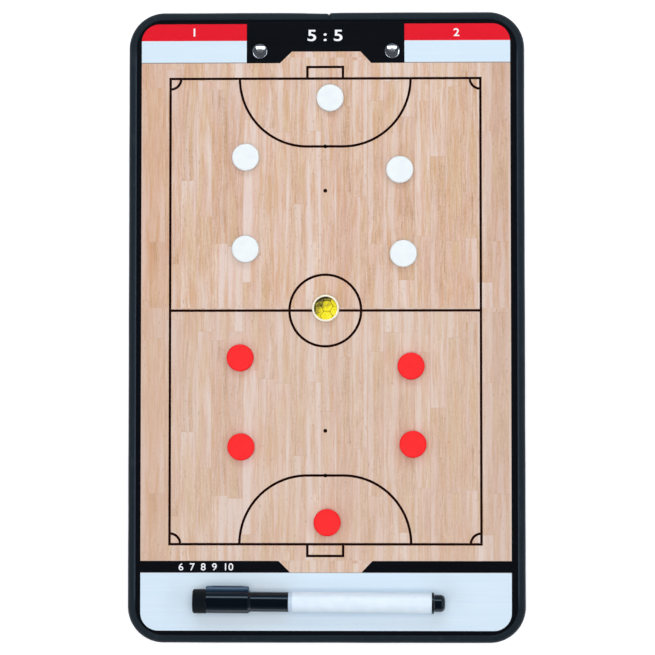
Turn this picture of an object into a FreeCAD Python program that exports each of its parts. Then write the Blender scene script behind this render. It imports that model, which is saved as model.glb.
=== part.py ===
import FreeCAD, Part
import math
import os

# Magnetic coaching board for five-a-side: a sheet-steel faced panel in a rubber edge trim,
# a sprung paper clip riveted to its back, eleven counters and a dry-wipe marker.
# Millimetres. The board lies on its back: X to the right, Y to the top edge, Z out of the
# printed face. The origin is under the board's centre, level with the clip's lowest face.

# Board panel, from the core outwards
board_length = 350.0
board_width = 220.0
board_corner_radius = 20.0
core_thickness = 3.3
steel_thickness = 0.25
film_thickness = 0.2

# Edge trim, a U strip pushed over the panel's edge, its ends butted at the top
trim_width = 4.5
trim_nose = 1.4
trim_lip_thickness = 1.2
trim_nose_depth = 2.3
trim_lip_rounding = 0.8
trim_seat_gap = 0.1
trim_joint_gap = 0.3
trim_joint_x = 1.6

# Rivets through the board and the clip's base
rivet_spacing = 73.6
rivet_from_top = 21.9
rivet_offset_x = -0.25
rivet_shank_diameter = 4.0
rivet_head_diameter = 8.2
rivet_head_height = 1.7
rivet_tail_diameter = 6.4
rivet_tail_height = 0.9
rivet_clearance = 0.05

# Paper clip on the back; depths are measured from the back face, away from the board
clip_depth = 10.0
clip_sheet_thickness = 0.9
clip_bend_radius = 1.6
clip_jaw_width = 116.0
clip_jaw_to_pin = 22.0
clip_lip_flare = 2.2
clip_lip_lift = 1.1
clip_shoulder_to_pin = 8.0
clip_thumb_to_pin = 15.2
clip_thumb_curl = 1.9
clip_thumb_lift = 0.9
clip_thumb_width = 62.0
clip_taper_start = 2.5
clip_taper_length = 7.0
clip_corner_radius = 3.0
base_thickness = 0.8
base_width = 114.0
base_depth = 14.0
base_corner_radius = 4.0
base_below_pin = 7.5
base_ear_foot = 11.0
pin_diameter = 2.4
pin_below_board = 5.2
pin_above_rivets = 0.6
pin_head_diameter = 3.8
pin_head_height = 0.8
pin_clearance = 0.05
ear_radius = 3.0
ear_thickness = 0.9
ear_spacing = 52.0
ear_side_gap = 0.15

# Torsion spring round the clip's pin
spring_wire_diameter = 1.0
spring_mean_radius = 2.4
spring_turns = 8
spring_pitch = 1.6
spring_base_leg = 5.6
spring_lever_leg = 7.6
spring_leg_gap = 0.1

# Rubber grips on the jaw's two corners
grip_width = 13.0
grip_wall = 0.8
grip_reach = 5.6
grip_gap = 0.05

# Counters: a plastic cap with a magnet disc pressed into it
counter_diameter = 15.0
counter_height = 4.5
counter_edge_rounding = 0.7
counter_wall = 1.1
counter_top = 1.2
counter_slide_gap = 0.05
disc_clearance = 0.05
ball_sticker_diameter = 12.8
ball_sticker_thickness = 0.15
ball_rim_height = 0.15

# Where the counters stand, from the centre of the board
white_counters = [(2.1, 126.6), (-44.8, 93.6), (40.7, 86.6), (-44.9, 42.6), (42.6, 40.0)]
red_counters = [(-47.7, -17.7), (46.8, -22.3), (-47.2, -66.9), (47.8, -65.5), (0.4, -108.6)]
ball_counter = (-0.4, 9.7)

# Marker, lying across the lower panel; lengths run from the eraser's end
marker_left = 73.4
marker_from_bottom = 23.42
marker_turn = -0.45
marker_rest_gap = 0.05
eraser_length = 7.3
eraser_diameter = 13.4
eraser_rounding = 1.1
cap_length = 45.2
cap_wide_length = 23.2
cap_step_length = 1.5
cap_wide_diameter = 13.0
cap_mouth_diameter = 11.0
cap_edge_rounding = 0.3
cap_wall = 0.7
cap_seat_length = 12.5
cap_seal_diameter = 6.8
cap_seal_taper = 7.0
cap_end_wall = 5.0
spigot_diameter = 7.0
spigot_length = 4.0
spigot_clearance = 0.05
housing_reach = 8.5
housing_width = 8.0
housing_rounding = 0.6
housing_end_margin = 0.5
magnet_bar_length = 17.5
magnet_bar_width = 5.0
magnet_bar_thickness = 1.6
magnet_bar_clearance = 0.05
neck_length = 2.1
neck_diameter = 10.5
neck_gap = 0.05
nose_length = 10.5
nose_cone_length = 8.0
nose_tip_diameter = 6.2
nose_fit = 0.08
nose_wall = 0.85
nose_spigot_length = 9.0
nose_web_length = 2.0
barrel_length = 76.7
barrel_diameter = 11.6
barrel_wall = 0.9
nib_diameter = 4.6
nib_reach = 6.5
nib_clearance = 0.04
nib_roundness = 0.9
reservoir_length = 58.0
reservoir_clearance = 0.3
reservoir_end_gap = 0.3
reservoir_hole_depth = 8.0
plug_flange_length = 1.25
plug_flange_diameter = 11.8
plug_dome_length = 6.1
plug_dome_diameter = 9.5
plug_dome_rounding = 2.6
plug_spigot_length = 6.0
tube_clearance = 0.03

# Levels and places that follow from the sizes above
panel_thickness = core_thickness + 2 * steel_thickness + 2 * film_thickness
panel_length = board_length - 2 * trim_nose
panel_width = board_width - 2 * trim_nose
panel_corner_radius = board_corner_radius - trim_nose
back_z = clip_depth
face_z = back_z + panel_thickness
rivet_y = board_length / 2 - rivet_from_top
rivet_places = [(rivet_offset_x + side * rivet_spacing / 2, rivet_y) for side in (-1, 1)]
pin_y = rivet_y + pin_above_rivets
pin_z = back_z - pin_below_board
lever_half = clip_sheet_thickness / 2
ORIGIN = FreeCAD.Vector(0, 0, 0)
X_AXIS = FreeCAD.Vector(1, 0, 0)
Y_AXIS = FreeCAD.Vector(0, 1, 0)
Z_AXIS = FreeCAD.Vector(0, 0, 1)


def point(x, y, z=0.0):
    return FreeCAD.Vector(x, y, z)


def line(start, end):
    return Part.LineSegment(start, end).toShape()


def arc(start, middle, end):
    return Part.Arc(start, middle, end).toShape()


def polygon_face(points):
    """Flat face inside straight edges through the points."""
    return Part.Face(Part.makePolygon(points + points[:1]))


def box(x_low, x_high, y_low, y_high, z_low, z_high):
    size = (x_high - x_low, y_high - y_low, z_high - z_low)
    return Part.makeBox(*size, point(x_low, y_low, z_low))


def rounded_plate(length_x, length_y, radius, thickness, centre):
    """Plate with four rounded corners, its lower face at the centre point's height."""
    plate = Part.makeBox(length_x, length_y, thickness)
    plate.translate(point(-length_x / 2, -length_y / 2))
    uprights = [edge for edge in plate.Edges if abs(edge.tangentAt(0).z) > 0.5]
    plate = plate.makeFillet(radius, uprights)
    plate.translate(centre)
    return plate


def turned(profile, axis, places=((0.0, 0.0),)):
    """Solids of revolution about an axis through the origin, one at each place in the plane."""
    solid = Part.Face(Part.Wire(profile)).revolve(ORIGIN, axis, 360)
    copies = []
    for x, y in places:
        copy = solid.copy()
        copy.translate(point(x, y))
        copies.append(copy)
    return copies[0] if len(copies) == 1 else Part.makeCompound(copies)


def straight_profile(points):
    """Closed edges through the points, for a turned piece."""
    closed = points + points[:1]
    return [line(a, b) for a, b in zip(closed, closed[1:])]


def corner_arc(start, corner, end):
    """Arc that leaves start towards the corner and arrives at end from the corner."""
    chord_middle = (start + end) * 0.5
    rise = corner - chord_middle
    half_chord = (end - start).Length / 2
    quarter_turn = math.atan2(rise.Length, half_chord) / 2
    middle = chord_middle + rise * (half_chord * math.tan(quarter_turn) / rise.Length)
    return arc(start, middle, end)


def save(name, shape):
    shape.exportStep(os.path.join("parts", name + ".step"))


def panel_layer(z_low, thickness):
    """One full-size layer of the board, drilled for both rivets."""
    layer = rounded_plate(panel_width, panel_length, panel_corner_radius, thickness, point(0, 0, z_low))
    hole_radius = rivet_shank_diameter / 2 + rivet_clearance
    for x, y in rivet_places:
        layer = layer.cut(Part.makeCylinder(hole_radius, thickness, point(x, y, z_low)))
    return layer


def make_board():
    """Core, steel facings and printed films, stacked face to face from the back."""
    stack = [
        ("back_print_film", film_thickness),
        ("back_steel_sheet", steel_thickness),
        ("core_panel", core_thickness),
        ("front_steel_sheet", steel_thickness),
        ("front_print_film", film_thickness),
    ]
    level = back_z
    for name, thickness in stack:
        save(name, panel_layer(level, thickness))
        level += thickness


def trim_section():
    """Half-round U section in the XZ plane; X is measured out from a corner's centre."""
    edge = panel_corner_radius
    inner = edge + trim_nose - trim_width
    web = edge + trim_seat_gap
    shoulder = edge + trim_nose - trim_nose_depth
    nose = edge + trim_nose
    outside = panel_thickness / 2 + trim_lip_thickness
    inside = panel_thickness / 2
    rounding = trim_lip_rounding
    quarter = rounding * (1 - math.sqrt(0.5))
    top = [
        line(point(inner, 0, inside), point(inner, 0, outside - rounding)),
        arc(
            point(inner, 0, outside - rounding),
            point(inner + quarter, 0, outside - quarter),
            point(inner + rounding, 0, outside),
        ),
        line(point(inner + rounding, 0, outside), point(shoulder, 0, outside)),
    ]
    nose_arc = arc(point(shoulder, 0, outside), point(nose, 0, 0), point(shoulder, 0, -outside))
    bottom = [edge_copy.mirror(ORIGIN, Z_AXIS) for edge_copy in top]
    mouth = [
        line(point(inner, 0, inside), point(web, 0, inside)),
        line(point(web, 0, inside), point(web, 0, -inside)),
        line(point(web, 0, -inside), point(inner, 0, -inside)),
    ]
    return Part.Face(Part.Wire(Part.__sortEdges__(top + [nose_arc] + bottom + mouth)))


def make_edge_trim():
    """Strip round the whole edge: four straight runs, four corners, and one butt joint."""
    half_x = panel_width / 2 - panel_corner_radius
    half_y = panel_length / 2 - panel_corner_radius
    middle_z = back_z + panel_thickness / 2
    joint_low = trim_joint_x - trim_joint_gap / 2
    joint_high = trim_joint_x + trim_joint_gap / 2
    runs = [
        (0, point(half_x, -half_y), 2 * half_y),
        (90, point(half_x, half_y), half_x - joint_high),
        (90, point(joint_low, half_y), half_x + joint_low),
        (180, point(-half_x, half_y), 2 * half_y),
        (270, point(-half_x, -half_y), 2 * half_x),
    ]
    corners = [
        (0, point(half_x, half_y)),
        (90, point(-half_x, half_y)),
        (180, point(-half_x, -half_y)),
        (270, point(half_x, -half_y)),
    ]
    section = trim_section()
    pieces = []
    for angle, start, length in runs:
        run = section.extrude(Y_AXIS * length)
        run.rotate(ORIGIN, Z_AXIS, angle)
        run.translate(start)
        pieces.append(run)
    for angle, centre in corners:
        corner = section.revolve(ORIGIN, Z_AXIS, 90)
        corner.rotate(ORIGIN, Z_AXIS, angle)
        corner.translate(centre)
        pieces.append(corner)
    trim = pieces[0].multiFuse(pieces[1:]).removeSplitter()
    trim.translate(point(0, 0, middle_z))
    save("edge_trim", trim.Solids[0])


def make_rivets():
    """Two domed rivets: head on the print, shank through the board, tail on the clip's base."""
    head = rivet_head_diameter / 2
    shank = rivet_shank_diameter / 2
    tail = rivet_tail_diameter / 2
    top = face_z + rivet_head_height
    tail_z = back_z - base_thickness
    dome_radius = (head**2 + rivet_head_height**2) / (2 * rivet_head_height)
    dome_middle_x = head / 2
    dome_middle_z = top - dome_radius + math.sqrt(dome_radius**2 - dome_middle_x**2)
    outline = [
        point(head, 0, face_z),
        point(shank, 0, face_z),
        point(shank, 0, tail_z),
        point(tail, 0, tail_z),
        point(tail - rivet_tail_height / 2, 0, tail_z - rivet_tail_height),
        point(0, 0, tail_z - rivet_tail_height),
        point(0, 0, top),
    ]
    edges = [line(a, b) for a, b in zip(outline, outline[1:])]
    edges.append(arc(outline[-1], point(dome_middle_x, 0, dome_middle_z), outline[0]))
    save("clip_rivets", turned(edges, Z_AXIS, rivet_places))


def ear(x_low, foot_z, foot_width):
    """Upright tab from a sheet down to a round eye at the pin, before its hole is drilled."""
    eye = Part.makeCylinder(ear_radius, ear_thickness, point(x_low, pin_y, pin_z), X_AXIS)
    blade = polygon_face(
        [
            point(x_low, pin_y - foot_width / 2, foot_z),
            point(x_low, pin_y + foot_width / 2, foot_z),
            point(x_low, pin_y + ear_radius, pin_z),
            point(x_low, pin_y - ear_radius, pin_z),
        ]
    )
    return eye.fuse(blade.extrude(X_AXIS * ear_thickness))


def drill_for_pin(shape):
    radius = pin_diameter / 2 + pin_clearance
    length = clip_jaw_width
    return shape.cut(Part.makeCylinder(radius, length, point(-length / 2, pin_y, pin_z), X_AXIS))


def make_clip_base():
    """Riveted plate with two ears that carry the pin."""
    plate_centre = point(0, pin_y - base_below_pin + base_depth / 2, back_z - base_thickness)
    base = rounded_plate(base_width, base_depth, base_corner_radius, base_thickness, plate_centre)
    for x_low in (-ear_spacing / 2 - ear_thickness, ear_spacing / 2):
        base = base.fuse(ear(x_low, back_z - base_thickness / 2, base_ear_foot))
    base = drill_for_pin(base.removeSplitter())
    hole_radius = rivet_shank_diameter / 2 + rivet_clearance
    for x, y in rivet_places:
        base = base.cut(Part.makeCylinder(hole_radius, clip_depth, point(x, y, back_z - base_thickness)))
    save("clip_base", base)


def lever_line():
    """Middle line of the lever's sheet in the YZ plane, from the jaw's lip to the thumb's edge."""
    jaw_depth = grip_gap + grip_wall + lever_half
    plateau_depth = clip_depth - lever_half
    jaw_y = pin_y - clip_jaw_to_pin
    shoulder_y = pin_y - clip_shoulder_to_pin
    thumb_y = pin_y + clip_thumb_to_pin
    flare_angle = math.atan2(clip_lip_lift, clip_lip_flare)
    rise_angle = math.atan2(plateau_depth - jaw_depth, shoulder_y - jaw_y)
    jaw_depth -= clip_bend_radius * (1 / math.cos((flare_angle + rise_angle) / 2) - 1)
    depths = [
        (jaw_y - clip_lip_flare, jaw_depth + clip_lip_lift),
        (jaw_y, jaw_depth),
        (shoulder_y, plateau_depth),
        (thumb_y - clip_thumb_curl, plateau_depth),
        (thumb_y, plateau_depth - clip_thumb_lift),
    ]
    return [point(0, y, back_z - depth) for y, depth in depths]


def bent_sheet(middle_line, half_thickness, bend_radius, end_margin=0.0):
    """Face of a sheet bent along a line in the YZ plane, with round bends of one radius."""
    first_run = (middle_line[1] - middle_line[0]).normalize()
    path = [middle_line[0] - first_run * end_margin] + middle_line[1:]
    runs = [(b - a).normalize() for a, b in zip(path, path[1:])]
    sides = []
    for side in (1, -1):
        offset = [X_AXIS.cross(run) * (side * half_thickness) for run in runs]
        edges = []
        start = path[0] + offset[0]
        for index, corner in enumerate(path[1:-1]):
            run_in, run_out = runs[index : index + 2]
            setback = bend_radius * math.tan(run_in.getAngle(run_out) / 2)
            arc_start = corner - run_in * setback
            left = 1 if run_in.cross(run_out).x > 0 else -1
            centre = arc_start + X_AXIS.cross(run_in) * (left * bend_radius)
            outward = (corner - centre).normalize()
            arc_middle = centre + outward * (bend_radius - left * side * half_thickness)
            arc_end = corner + run_out * setback + offset[index + 1]
            arc_start += offset[index]
            edges.append(line(start, arc_start))
            edges.append(arc(arc_start, arc_middle, arc_end))
            start = arc_end
        edges.append(line(start, path[-1] + offset[-1]))
        sides.append(edges)
    first_end = X_AXIS.cross(runs[0]) * half_thickness
    last_end = X_AXIS.cross(runs[-1]) * half_thickness
    ends = [
        line(path[0] + first_end, path[0] - first_end),
        line(path[-1] + last_end, path[-1] - last_end),
    ]
    return Part.Face(Part.Wire(Part.__sortEdges__(sides[0] + sides[1] + ends)))


def lever_plan():
    """The lever's outline seen square to the board: a wide jaw that narrows to a thumb tab."""
    jaw = clip_jaw_width / 2
    thumb = clip_thumb_width / 2
    jaw_end = pin_y - clip_jaw_to_pin - clip_lip_flare - clip_sheet_thickness
    taper_low = pin_y - clip_shoulder_to_pin + clip_taper_start
    taper_high = taper_low + clip_taper_length
    thumb_end = pin_y + clip_thumb_to_pin + clip_sheet_thickness
    half = [(jaw, jaw_end), (jaw, taper_low), (thumb, taper_high), (thumb, thumb_end)]
    outline = half + [(-x, y) for x, y in reversed(half)]
    prism = polygon_face([point(x, y) for x, y in outline]).extrude(Z_AXIS * back_z)
    uprights = [edge for edge in prism.Edges if abs(edge.tangentAt(0).z) > 0.5]
    return prism.makeFillet(clip_corner_radius, uprights)


def make_clip_lever():
    """Jaw and thumb plate in one sheet, with two ears inside the base's ears."""
    sheet = bent_sheet(lever_line(), lever_half, clip_bend_radius)
    sheet.translate(point(-clip_jaw_width / 2, 0, 0))
    lever = sheet.extrude(X_AXIS * clip_jaw_width).common(lever_plan())
    inner_ear = ear_spacing / 2 - ear_side_gap - ear_thickness
    for x_low in (-inner_ear - ear_thickness, inner_ear):
        lever = lever.fuse(ear(x_low, lever_half, 2 * ear_radius))
    lever = drill_for_pin(lever.removeSplitter())
    save("clip_lever", lever.Solids[0])


def make_clip_grips():
    """Rubber sleeve on each end of the jaw's lip."""
    jaw_run = lever_line()[:3]
    reach_run = (jaw_run[2] - jaw_run[1]).normalize() * grip_reach
    grip_line = jaw_run[:2] + [jaw_run[1] + reach_run]
    outer = bent_sheet(grip_line, lever_half + grip_wall, clip_bend_radius, grip_wall)
    inner = bent_sheet(jaw_run, lever_half, clip_bend_radius)
    shell = outer.extrude(X_AXIS * grip_width).cut(inner.extrude(X_AXIS * grip_width))
    outer_end = clip_jaw_width / 2 - clip_corner_radius
    grips = [shell.copy(), shell.copy()]
    grips[0].translate(point(-outer_end, 0, 0))
    grips[1].translate(point(outer_end - grip_width, 0, 0))
    save("clip_grips", Part.makeCompound(grips))


def make_clip_pin():
    """Hinge pin with a flat head outside each ear of the base."""
    half = ear_spacing / 2 + ear_thickness + pin_clearance
    radius = pin_diameter / 2
    head = pin_head_diameter / 2
    outline = [
        point(-half - pin_head_height, 0, 0),
        point(-half - pin_head_height, 0, head),
        point(-half, 0, head),
        point(-half, 0, radius),
        point(half, 0, radius),
        point(half, 0, head),
        point(half + pin_head_height, 0, head),
        point(half + pin_head_height, 0, 0),
    ]
    pin = turned(straight_profile(outline), X_AXIS)
    pin.translate(point(0, pin_y, pin_z))
    save("clip_hinge_pin", pin)


def biarc(start, start_direction, end, end_direction):
    """Two arcs that meet smoothly, from one point and direction to another."""
    span = end - start
    both = start_direction + end_direction
    square = both.dot(both) - 4
    linear = -2 * span.dot(both)
    reach = (-linear - math.sqrt(linear**2 - 4 * square * span.dot(span))) / (2 * square)
    first_corner = start + start_direction * reach
    second_corner = end - end_direction * reach
    joint = (first_corner + second_corner) * 0.5
    return [corner_arc(start, first_corner, joint), corner_arc(joint, second_corner, end)]


def least_gap(points, half_turn, diameter):
    """Least clear distance from a tube to itself, leaving out points under half a turn apart."""
    gaps = []
    for index, here in enumerate(points):
        gaps += [here.distanceToPoint(there) for there in points[index + half_turn :]]
    return min(gaps) - diameter


def make_clip_spring():
    """Torsion spring: close turns round the pin, one leg on the base and one on the lever."""
    wire_radius = spring_wire_diameter / 2
    rise = spring_pitch / (2 * math.pi)
    base_leg_z = back_z - base_thickness - wire_radius - spring_leg_gap - pin_z
    lever_leg_z = clip_sheet_thickness + wire_radius + spring_leg_gap - pin_z
    base_reach = math.hypot(spring_base_leg, base_leg_z)
    lever_reach = math.hypot(spring_lever_leg, lever_leg_z)
    start_angle = math.asin(base_leg_z / base_reach) + math.acos(spring_mean_radius / base_reach)
    end_angle = math.asin(lever_leg_z / lever_reach) - math.acos(spring_mean_radius / lever_reach)
    end_angle += 2 * math.pi * spring_turns
    middle_angle = (start_angle + end_angle) / 2

    def on_helix(angle):
        x = rise * (angle - middle_angle)
        y = pin_y + spring_mean_radius * math.cos(angle)
        return point(x, y, pin_z + spring_mean_radius * math.sin(angle))

    def along_helix(angle):
        y = -spring_mean_radius * math.sin(angle)
        return point(rise, y, spring_mean_radius * math.cos(angle)).normalize()

    quarters = 4 * spring_turns
    quarter_angle = (end_angle - start_angle) / quarters
    angles = [start_angle + quarter_angle * index for index in range(quarters + 1)]
    slant = math.hypot(spring_mean_radius, rise) / spring_mean_radius
    base_leg = math.sqrt(base_reach**2 - spring_mean_radius**2) * slant
    lever_leg = math.sqrt(lever_reach**2 - spring_mean_radius**2) * slant
    start = on_helix(start_angle)
    end = on_helix(end_angle)
    edges = [line(start - along_helix(start_angle) * base_leg, start)]
    for low, high in zip(angles, angles[1:]):
        edges += biarc(on_helix(low), along_helix(low), on_helix(high), along_helix(high))
    edges.append(line(end, end + along_helix(end_angle) * lever_leg))
    path = Part.Wire(edges)
    rim = Part.makeCircle(wire_radius, edges[0].Vertexes[0].Point, along_helix(start_angle))
    save("clip_spring", path.makePipeShell([Part.Wire(rim)], True, False))
    coil = [on_helix(start_angle + quarter_angle * eighth / 8) for eighth in range(8 * quarters)]
    coil_gap = least_gap(coil, 16, spring_wire_diameter)
    print("clip_spring least gap to itself:", round(coil_gap, 2), "mm")


def counter_cap_profile(recess):
    """Half section of a cap, open below, with a rounded top edge and an optional top recess."""
    radius = counter_diameter / 2
    bore = radius - counter_wall
    roof = counter_height - counter_top
    rounding = counter_edge_rounding
    quarter = rounding * (1 - math.sqrt(0.5))
    outline = [point(bore, 0, 0), point(radius, 0, 0), point(radius, 0, counter_height - rounding)]
    edges = [line(a, b) for a, b in zip(outline, outline[1:])]
    rim = point(radius - rounding, 0, counter_height)
    edges.append(arc(outline[-1], point(radius - quarter, 0, counter_height - quarter), rim))
    floor = counter_height - recess
    crown = [rim]
    if recess > 0:
        recess_radius = ball_sticker_diameter / 2 + disc_clearance
        crown += [point(recess_radius, 0, counter_height), point(recess_radius, 0, floor)]
    crown += [point(0, 0, floor), point(0, 0, roof), point(bore, 0, roof), point(bore, 0, 0)]
    edges += [line(a, b) for a, b in zip(crown, crown[1:])]
    return edges


def make_counter(name, place, recess=0.0):
    """One counter: its cap, and the magnet disc flush with the cap's lower edge."""
    base = point(*place, face_z + counter_slide_gap)
    cap = turned(counter_cap_profile(recess), Z_AXIS)
    cap.translate(base)
    save(name + "_cap", cap)
    disc_radius = counter_diameter / 2 - counter_wall - disc_clearance
    save(name + "_magnet", Part.makeCylinder(disc_radius, counter_height - counter_top, base))


def make_counters():
    """Five counters for each team and the ball."""
    for index, place in enumerate(white_counters, 1):
        make_counter(f"white_counter_{index}", place)
    for index, place in enumerate(red_counters, 1):
        make_counter(f"red_counter_{index}", place)
    make_counter("ball_counter", ball_counter, ball_sticker_thickness + ball_rim_height)
    sticker_z = face_z + counter_slide_gap + counter_height - ball_rim_height - ball_sticker_thickness
    sticker_base = point(*ball_counter, sticker_z)
    sticker = Part.makeCylinder(ball_sticker_diameter / 2, ball_sticker_thickness, sticker_base)
    save("ball_sticker", sticker)


def place_marker_piece(shape):
    """From the marker's own axis, X from the eraser's end, to its place on the board."""
    shape.rotate(ORIGIN, Z_AXIS, marker_turn)
    axis_z = face_z + marker_rest_gap + eraser_diameter / 2
    shape.translate(point(-marker_left, marker_from_bottom - board_length / 2, axis_z))
    return shape


def turned_along_x(outline, arcs=()):
    """Turned piece about X. Each arc replaces the corner of the given index by a quarter round."""
    corners = dict(arcs)
    count = len(outline)
    edges = []
    starts = []
    for index, corner in enumerate(outline):
        radius = corners.get(index, 0.0)
        into = (corner - outline[index - 1]).normalize()
        out = (outline[(index + 1) % count] - corner).normalize()
        starts.append((corner - into * radius, corner, corner + out * radius, radius))
    for index, (arc_start, corner, arc_end, radius) in enumerate(starts):
        if radius > 0:
            edges.append(corner_arc(arc_start, corner, arc_end))
        edges.append(line(arc_end, starts[(index + 1) % count][0]))
    return turned(edges, X_AXIS)


cap_start = eraser_length
cap_mouth = cap_start + cap_length
barrel_start = cap_mouth + neck_length
barrel_end = barrel_start + barrel_length
nose_tip = cap_mouth - nose_length - nose_cone_length
nib_tip = nose_tip - nib_reach
cap_bore_radius = cap_mouth_diameter / 2 - cap_wall
barrel_bore_radius = barrel_diameter / 2 - barrel_wall
nose_bore_radius = cap_bore_radius - nose_fit - nose_wall


def make_marker_eraser():
    """Felt pad on the cap's end, rounded at its outer edge and hollow for the cap's spigot."""
    radius = eraser_diameter / 2
    hole = spigot_diameter / 2 + spigot_clearance
    hole_end = eraser_length - spigot_length - spigot_clearance
    outline = [
        point(0, 0, 0),
        point(0, 0, radius),
        point(eraser_length, 0, radius),
        point(eraser_length, 0, hole),
        point(hole_end, 0, hole),
        point(hole_end, 0, 0),
    ]
    save("marker_eraser", place_marker_piece(turned_along_x(outline, [(1, eraser_rounding)])))


def make_marker_cap():
    """Stepped cap with a bar magnet let into the housing on its side."""
    wide = cap_wide_diameter / 2
    narrow = cap_mouth_diameter / 2
    seal = cap_seal_diameter / 2
    spigot = spigot_diameter / 2
    seat_end = cap_mouth - cap_seat_length
    bore_end = cap_start + cap_end_wall
    outline = [
        point(cap_start - spigot_length, 0, 0),
        point(cap_start - spigot_length, 0, spigot),
        point(cap_start, 0, spigot),
        point(cap_start, 0, wide),
        point(cap_start + cap_wide_length, 0, wide),
        point(cap_start + cap_wide_length + cap_step_length, 0, narrow),
        point(cap_mouth, 0, narrow),
        point(cap_mouth, 0, 0),
    ]
    cap = turned_along_x(outline, [(3, cap_edge_rounding)])
    housing_end = cap_start + cap_wide_length + housing_end_margin
    housing = box(cap_start, housing_end, 0, housing_reach, -housing_width / 2, housing_width / 2)
    outer_edges = [edge for edge in housing.Edges if edge.BoundBox.YMax > housing_rounding]
    housing = housing.makeFillet(housing_rounding, outer_edges)
    bore_outline = [
        point(cap_mouth, 0, 0),
        point(cap_mouth, 0, cap_bore_radius),
        point(seat_end, 0, cap_bore_radius),
        point(seat_end - cap_seal_taper, 0, seal),
        point(bore_end, 0, seal),
        point(bore_end, 0, 0),
    ]
    cap = cap.fuse(housing).cut(turned(straight_profile(bore_outline), X_AXIS))
    middle_x = (cap_start + housing_end) / 2
    pocket_half = magnet_bar_length / 2 + magnet_bar_clearance
    pocket_side = magnet_bar_width / 2 + magnet_bar_clearance
    pocket_floor = housing_reach - magnet_bar_thickness - magnet_bar_clearance
    pocket = box(
        middle_x - pocket_half,
        middle_x + pocket_half,
        pocket_floor,
        housing_reach,
        -pocket_side,
        pocket_side,
    )
    save("marker_cap", place_marker_piece(cap.cut(pocket)))
    bar = box(
        middle_x - magnet_bar_length / 2,
        middle_x + magnet_bar_length / 2,
        pocket_floor,
        pocket_floor + magnet_bar_thickness,
        -magnet_bar_width / 2,
        magnet_bar_width / 2,
    )
    save("marker_cap_magnet", place_marker_piece(bar))


def make_marker_nose():
    """Front piece: a ring that shows below the cap, a cone that holds the nib, a rear spigot."""
    ring = neck_diameter / 2
    seat = cap_bore_radius - nose_fit
    tip = nose_tip_diameter / 2
    nib_hole = nib_diameter / 2 + nib_clearance
    spigot = barrel_bore_radius - tube_clearance
    cone_start = cap_mouth - nose_length
    outline = [
        point(nose_tip, 0, nib_hole),
        point(nose_tip, 0, tip),
        point(cone_start, 0, seat),
        point(cap_mouth + neck_gap, 0, seat),
        point(cap_mouth + neck_gap, 0, ring),
        point(barrel_start, 0, ring),
        point(barrel_start, 0, spigot),
        point(barrel_start + nose_spigot_length, 0, spigot),
        point(barrel_start + nose_spigot_length, 0, nose_bore_radius),
        point(cone_start + nose_web_length, 0, nose_bore_radius),
        point(cone_start + nose_web_length, 0, nib_hole),
    ]
    save("marker_nose", place_marker_piece(turned(straight_profile(outline), X_AXIS)))


def make_marker_barrel():
    """Plain tube, open at both ends."""
    outer = barrel_diameter / 2
    outline = [
        point(barrel_start, 0, barrel_bore_radius),
        point(barrel_start, 0, outer),
        point(barrel_end, 0, outer),
        point(barrel_end, 0, barrel_bore_radius),
    ]
    save("marker_barrel", place_marker_piece(turned(straight_profile(outline), X_AXIS)))


def make_marker_ink():
    """Fibre nib with a bullet tip, and the ink reservoir that it reaches into."""
    radius = nib_diameter / 2
    reservoir_start = barrel_start + nose_spigot_length + reservoir_end_gap
    nib_end = reservoir_start + reservoir_hole_depth
    nib_outline = [
        point(nib_tip, 0, 0),
        point(nib_tip, 0, radius),
        point(nib_end, 0, radius),
        point(nib_end, 0, 0),
    ]
    nib = turned_along_x(nib_outline, [(1, radius * nib_roundness)])
    save("marker_nib", place_marker_piece(nib))
    hole = radius + nib_clearance
    outer = barrel_bore_radius - reservoir_clearance
    hole_end = nib_end + nib_clearance
    outline = [
        point(reservoir_start, 0, hole),
        point(reservoir_start, 0, outer),
        point(reservoir_start + reservoir_length, 0, outer),
        point(reservoir_start + reservoir_length, 0, 0),
        point(hole_end, 0, 0),
        point(hole_end, 0, hole),
    ]
    save("marker_reservoir", place_marker_piece(turned(straight_profile(outline), X_AXIS)))


def make_marker_plug():
    """End plug: spigot in the barrel, thin flange against its end, rounded knob outside."""
    spigot = barrel_bore_radius - tube_clearance
    flange = plug_flange_diameter / 2
    dome = plug_dome_diameter / 2
    flange_end = barrel_end + plug_flange_length
    outline = [
        point(barrel_end - plug_spigot_length, 0, 0),
        point(barrel_end - plug_spigot_length, 0, spigot),
        point(barrel_end, 0, spigot),
        point(barrel_end, 0, flange),
        point(flange_end, 0, flange),
        point(flange_end, 0, dome),
        point(flange_end + plug_dome_length, 0, dome),
        point(flange_end + plug_dome_length, 0, 0),
    ]
    save("marker_end_plug", place_marker_piece(turned_along_x(outline, [(6, plug_dome_rounding)])))


def make_marker():
    make_marker_eraser()
    make_marker_cap()
    make_marker_nose()
    make_marker_barrel()
    make_marker_ink()
    make_marker_plug()


def make_clip():
    make_clip_base()
    make_clip_lever()
    make_clip_grips()
    make_clip_pin()
    make_clip_spring()


os.makedirs("parts", exist_ok=True)
make_board()
make_edge_trim()
make_rivets()
make_clip()
make_counters()
make_marker()
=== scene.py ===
import math

import bmesh
import bpy
import numpy as np
from mathutils import Matrix, Vector


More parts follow.
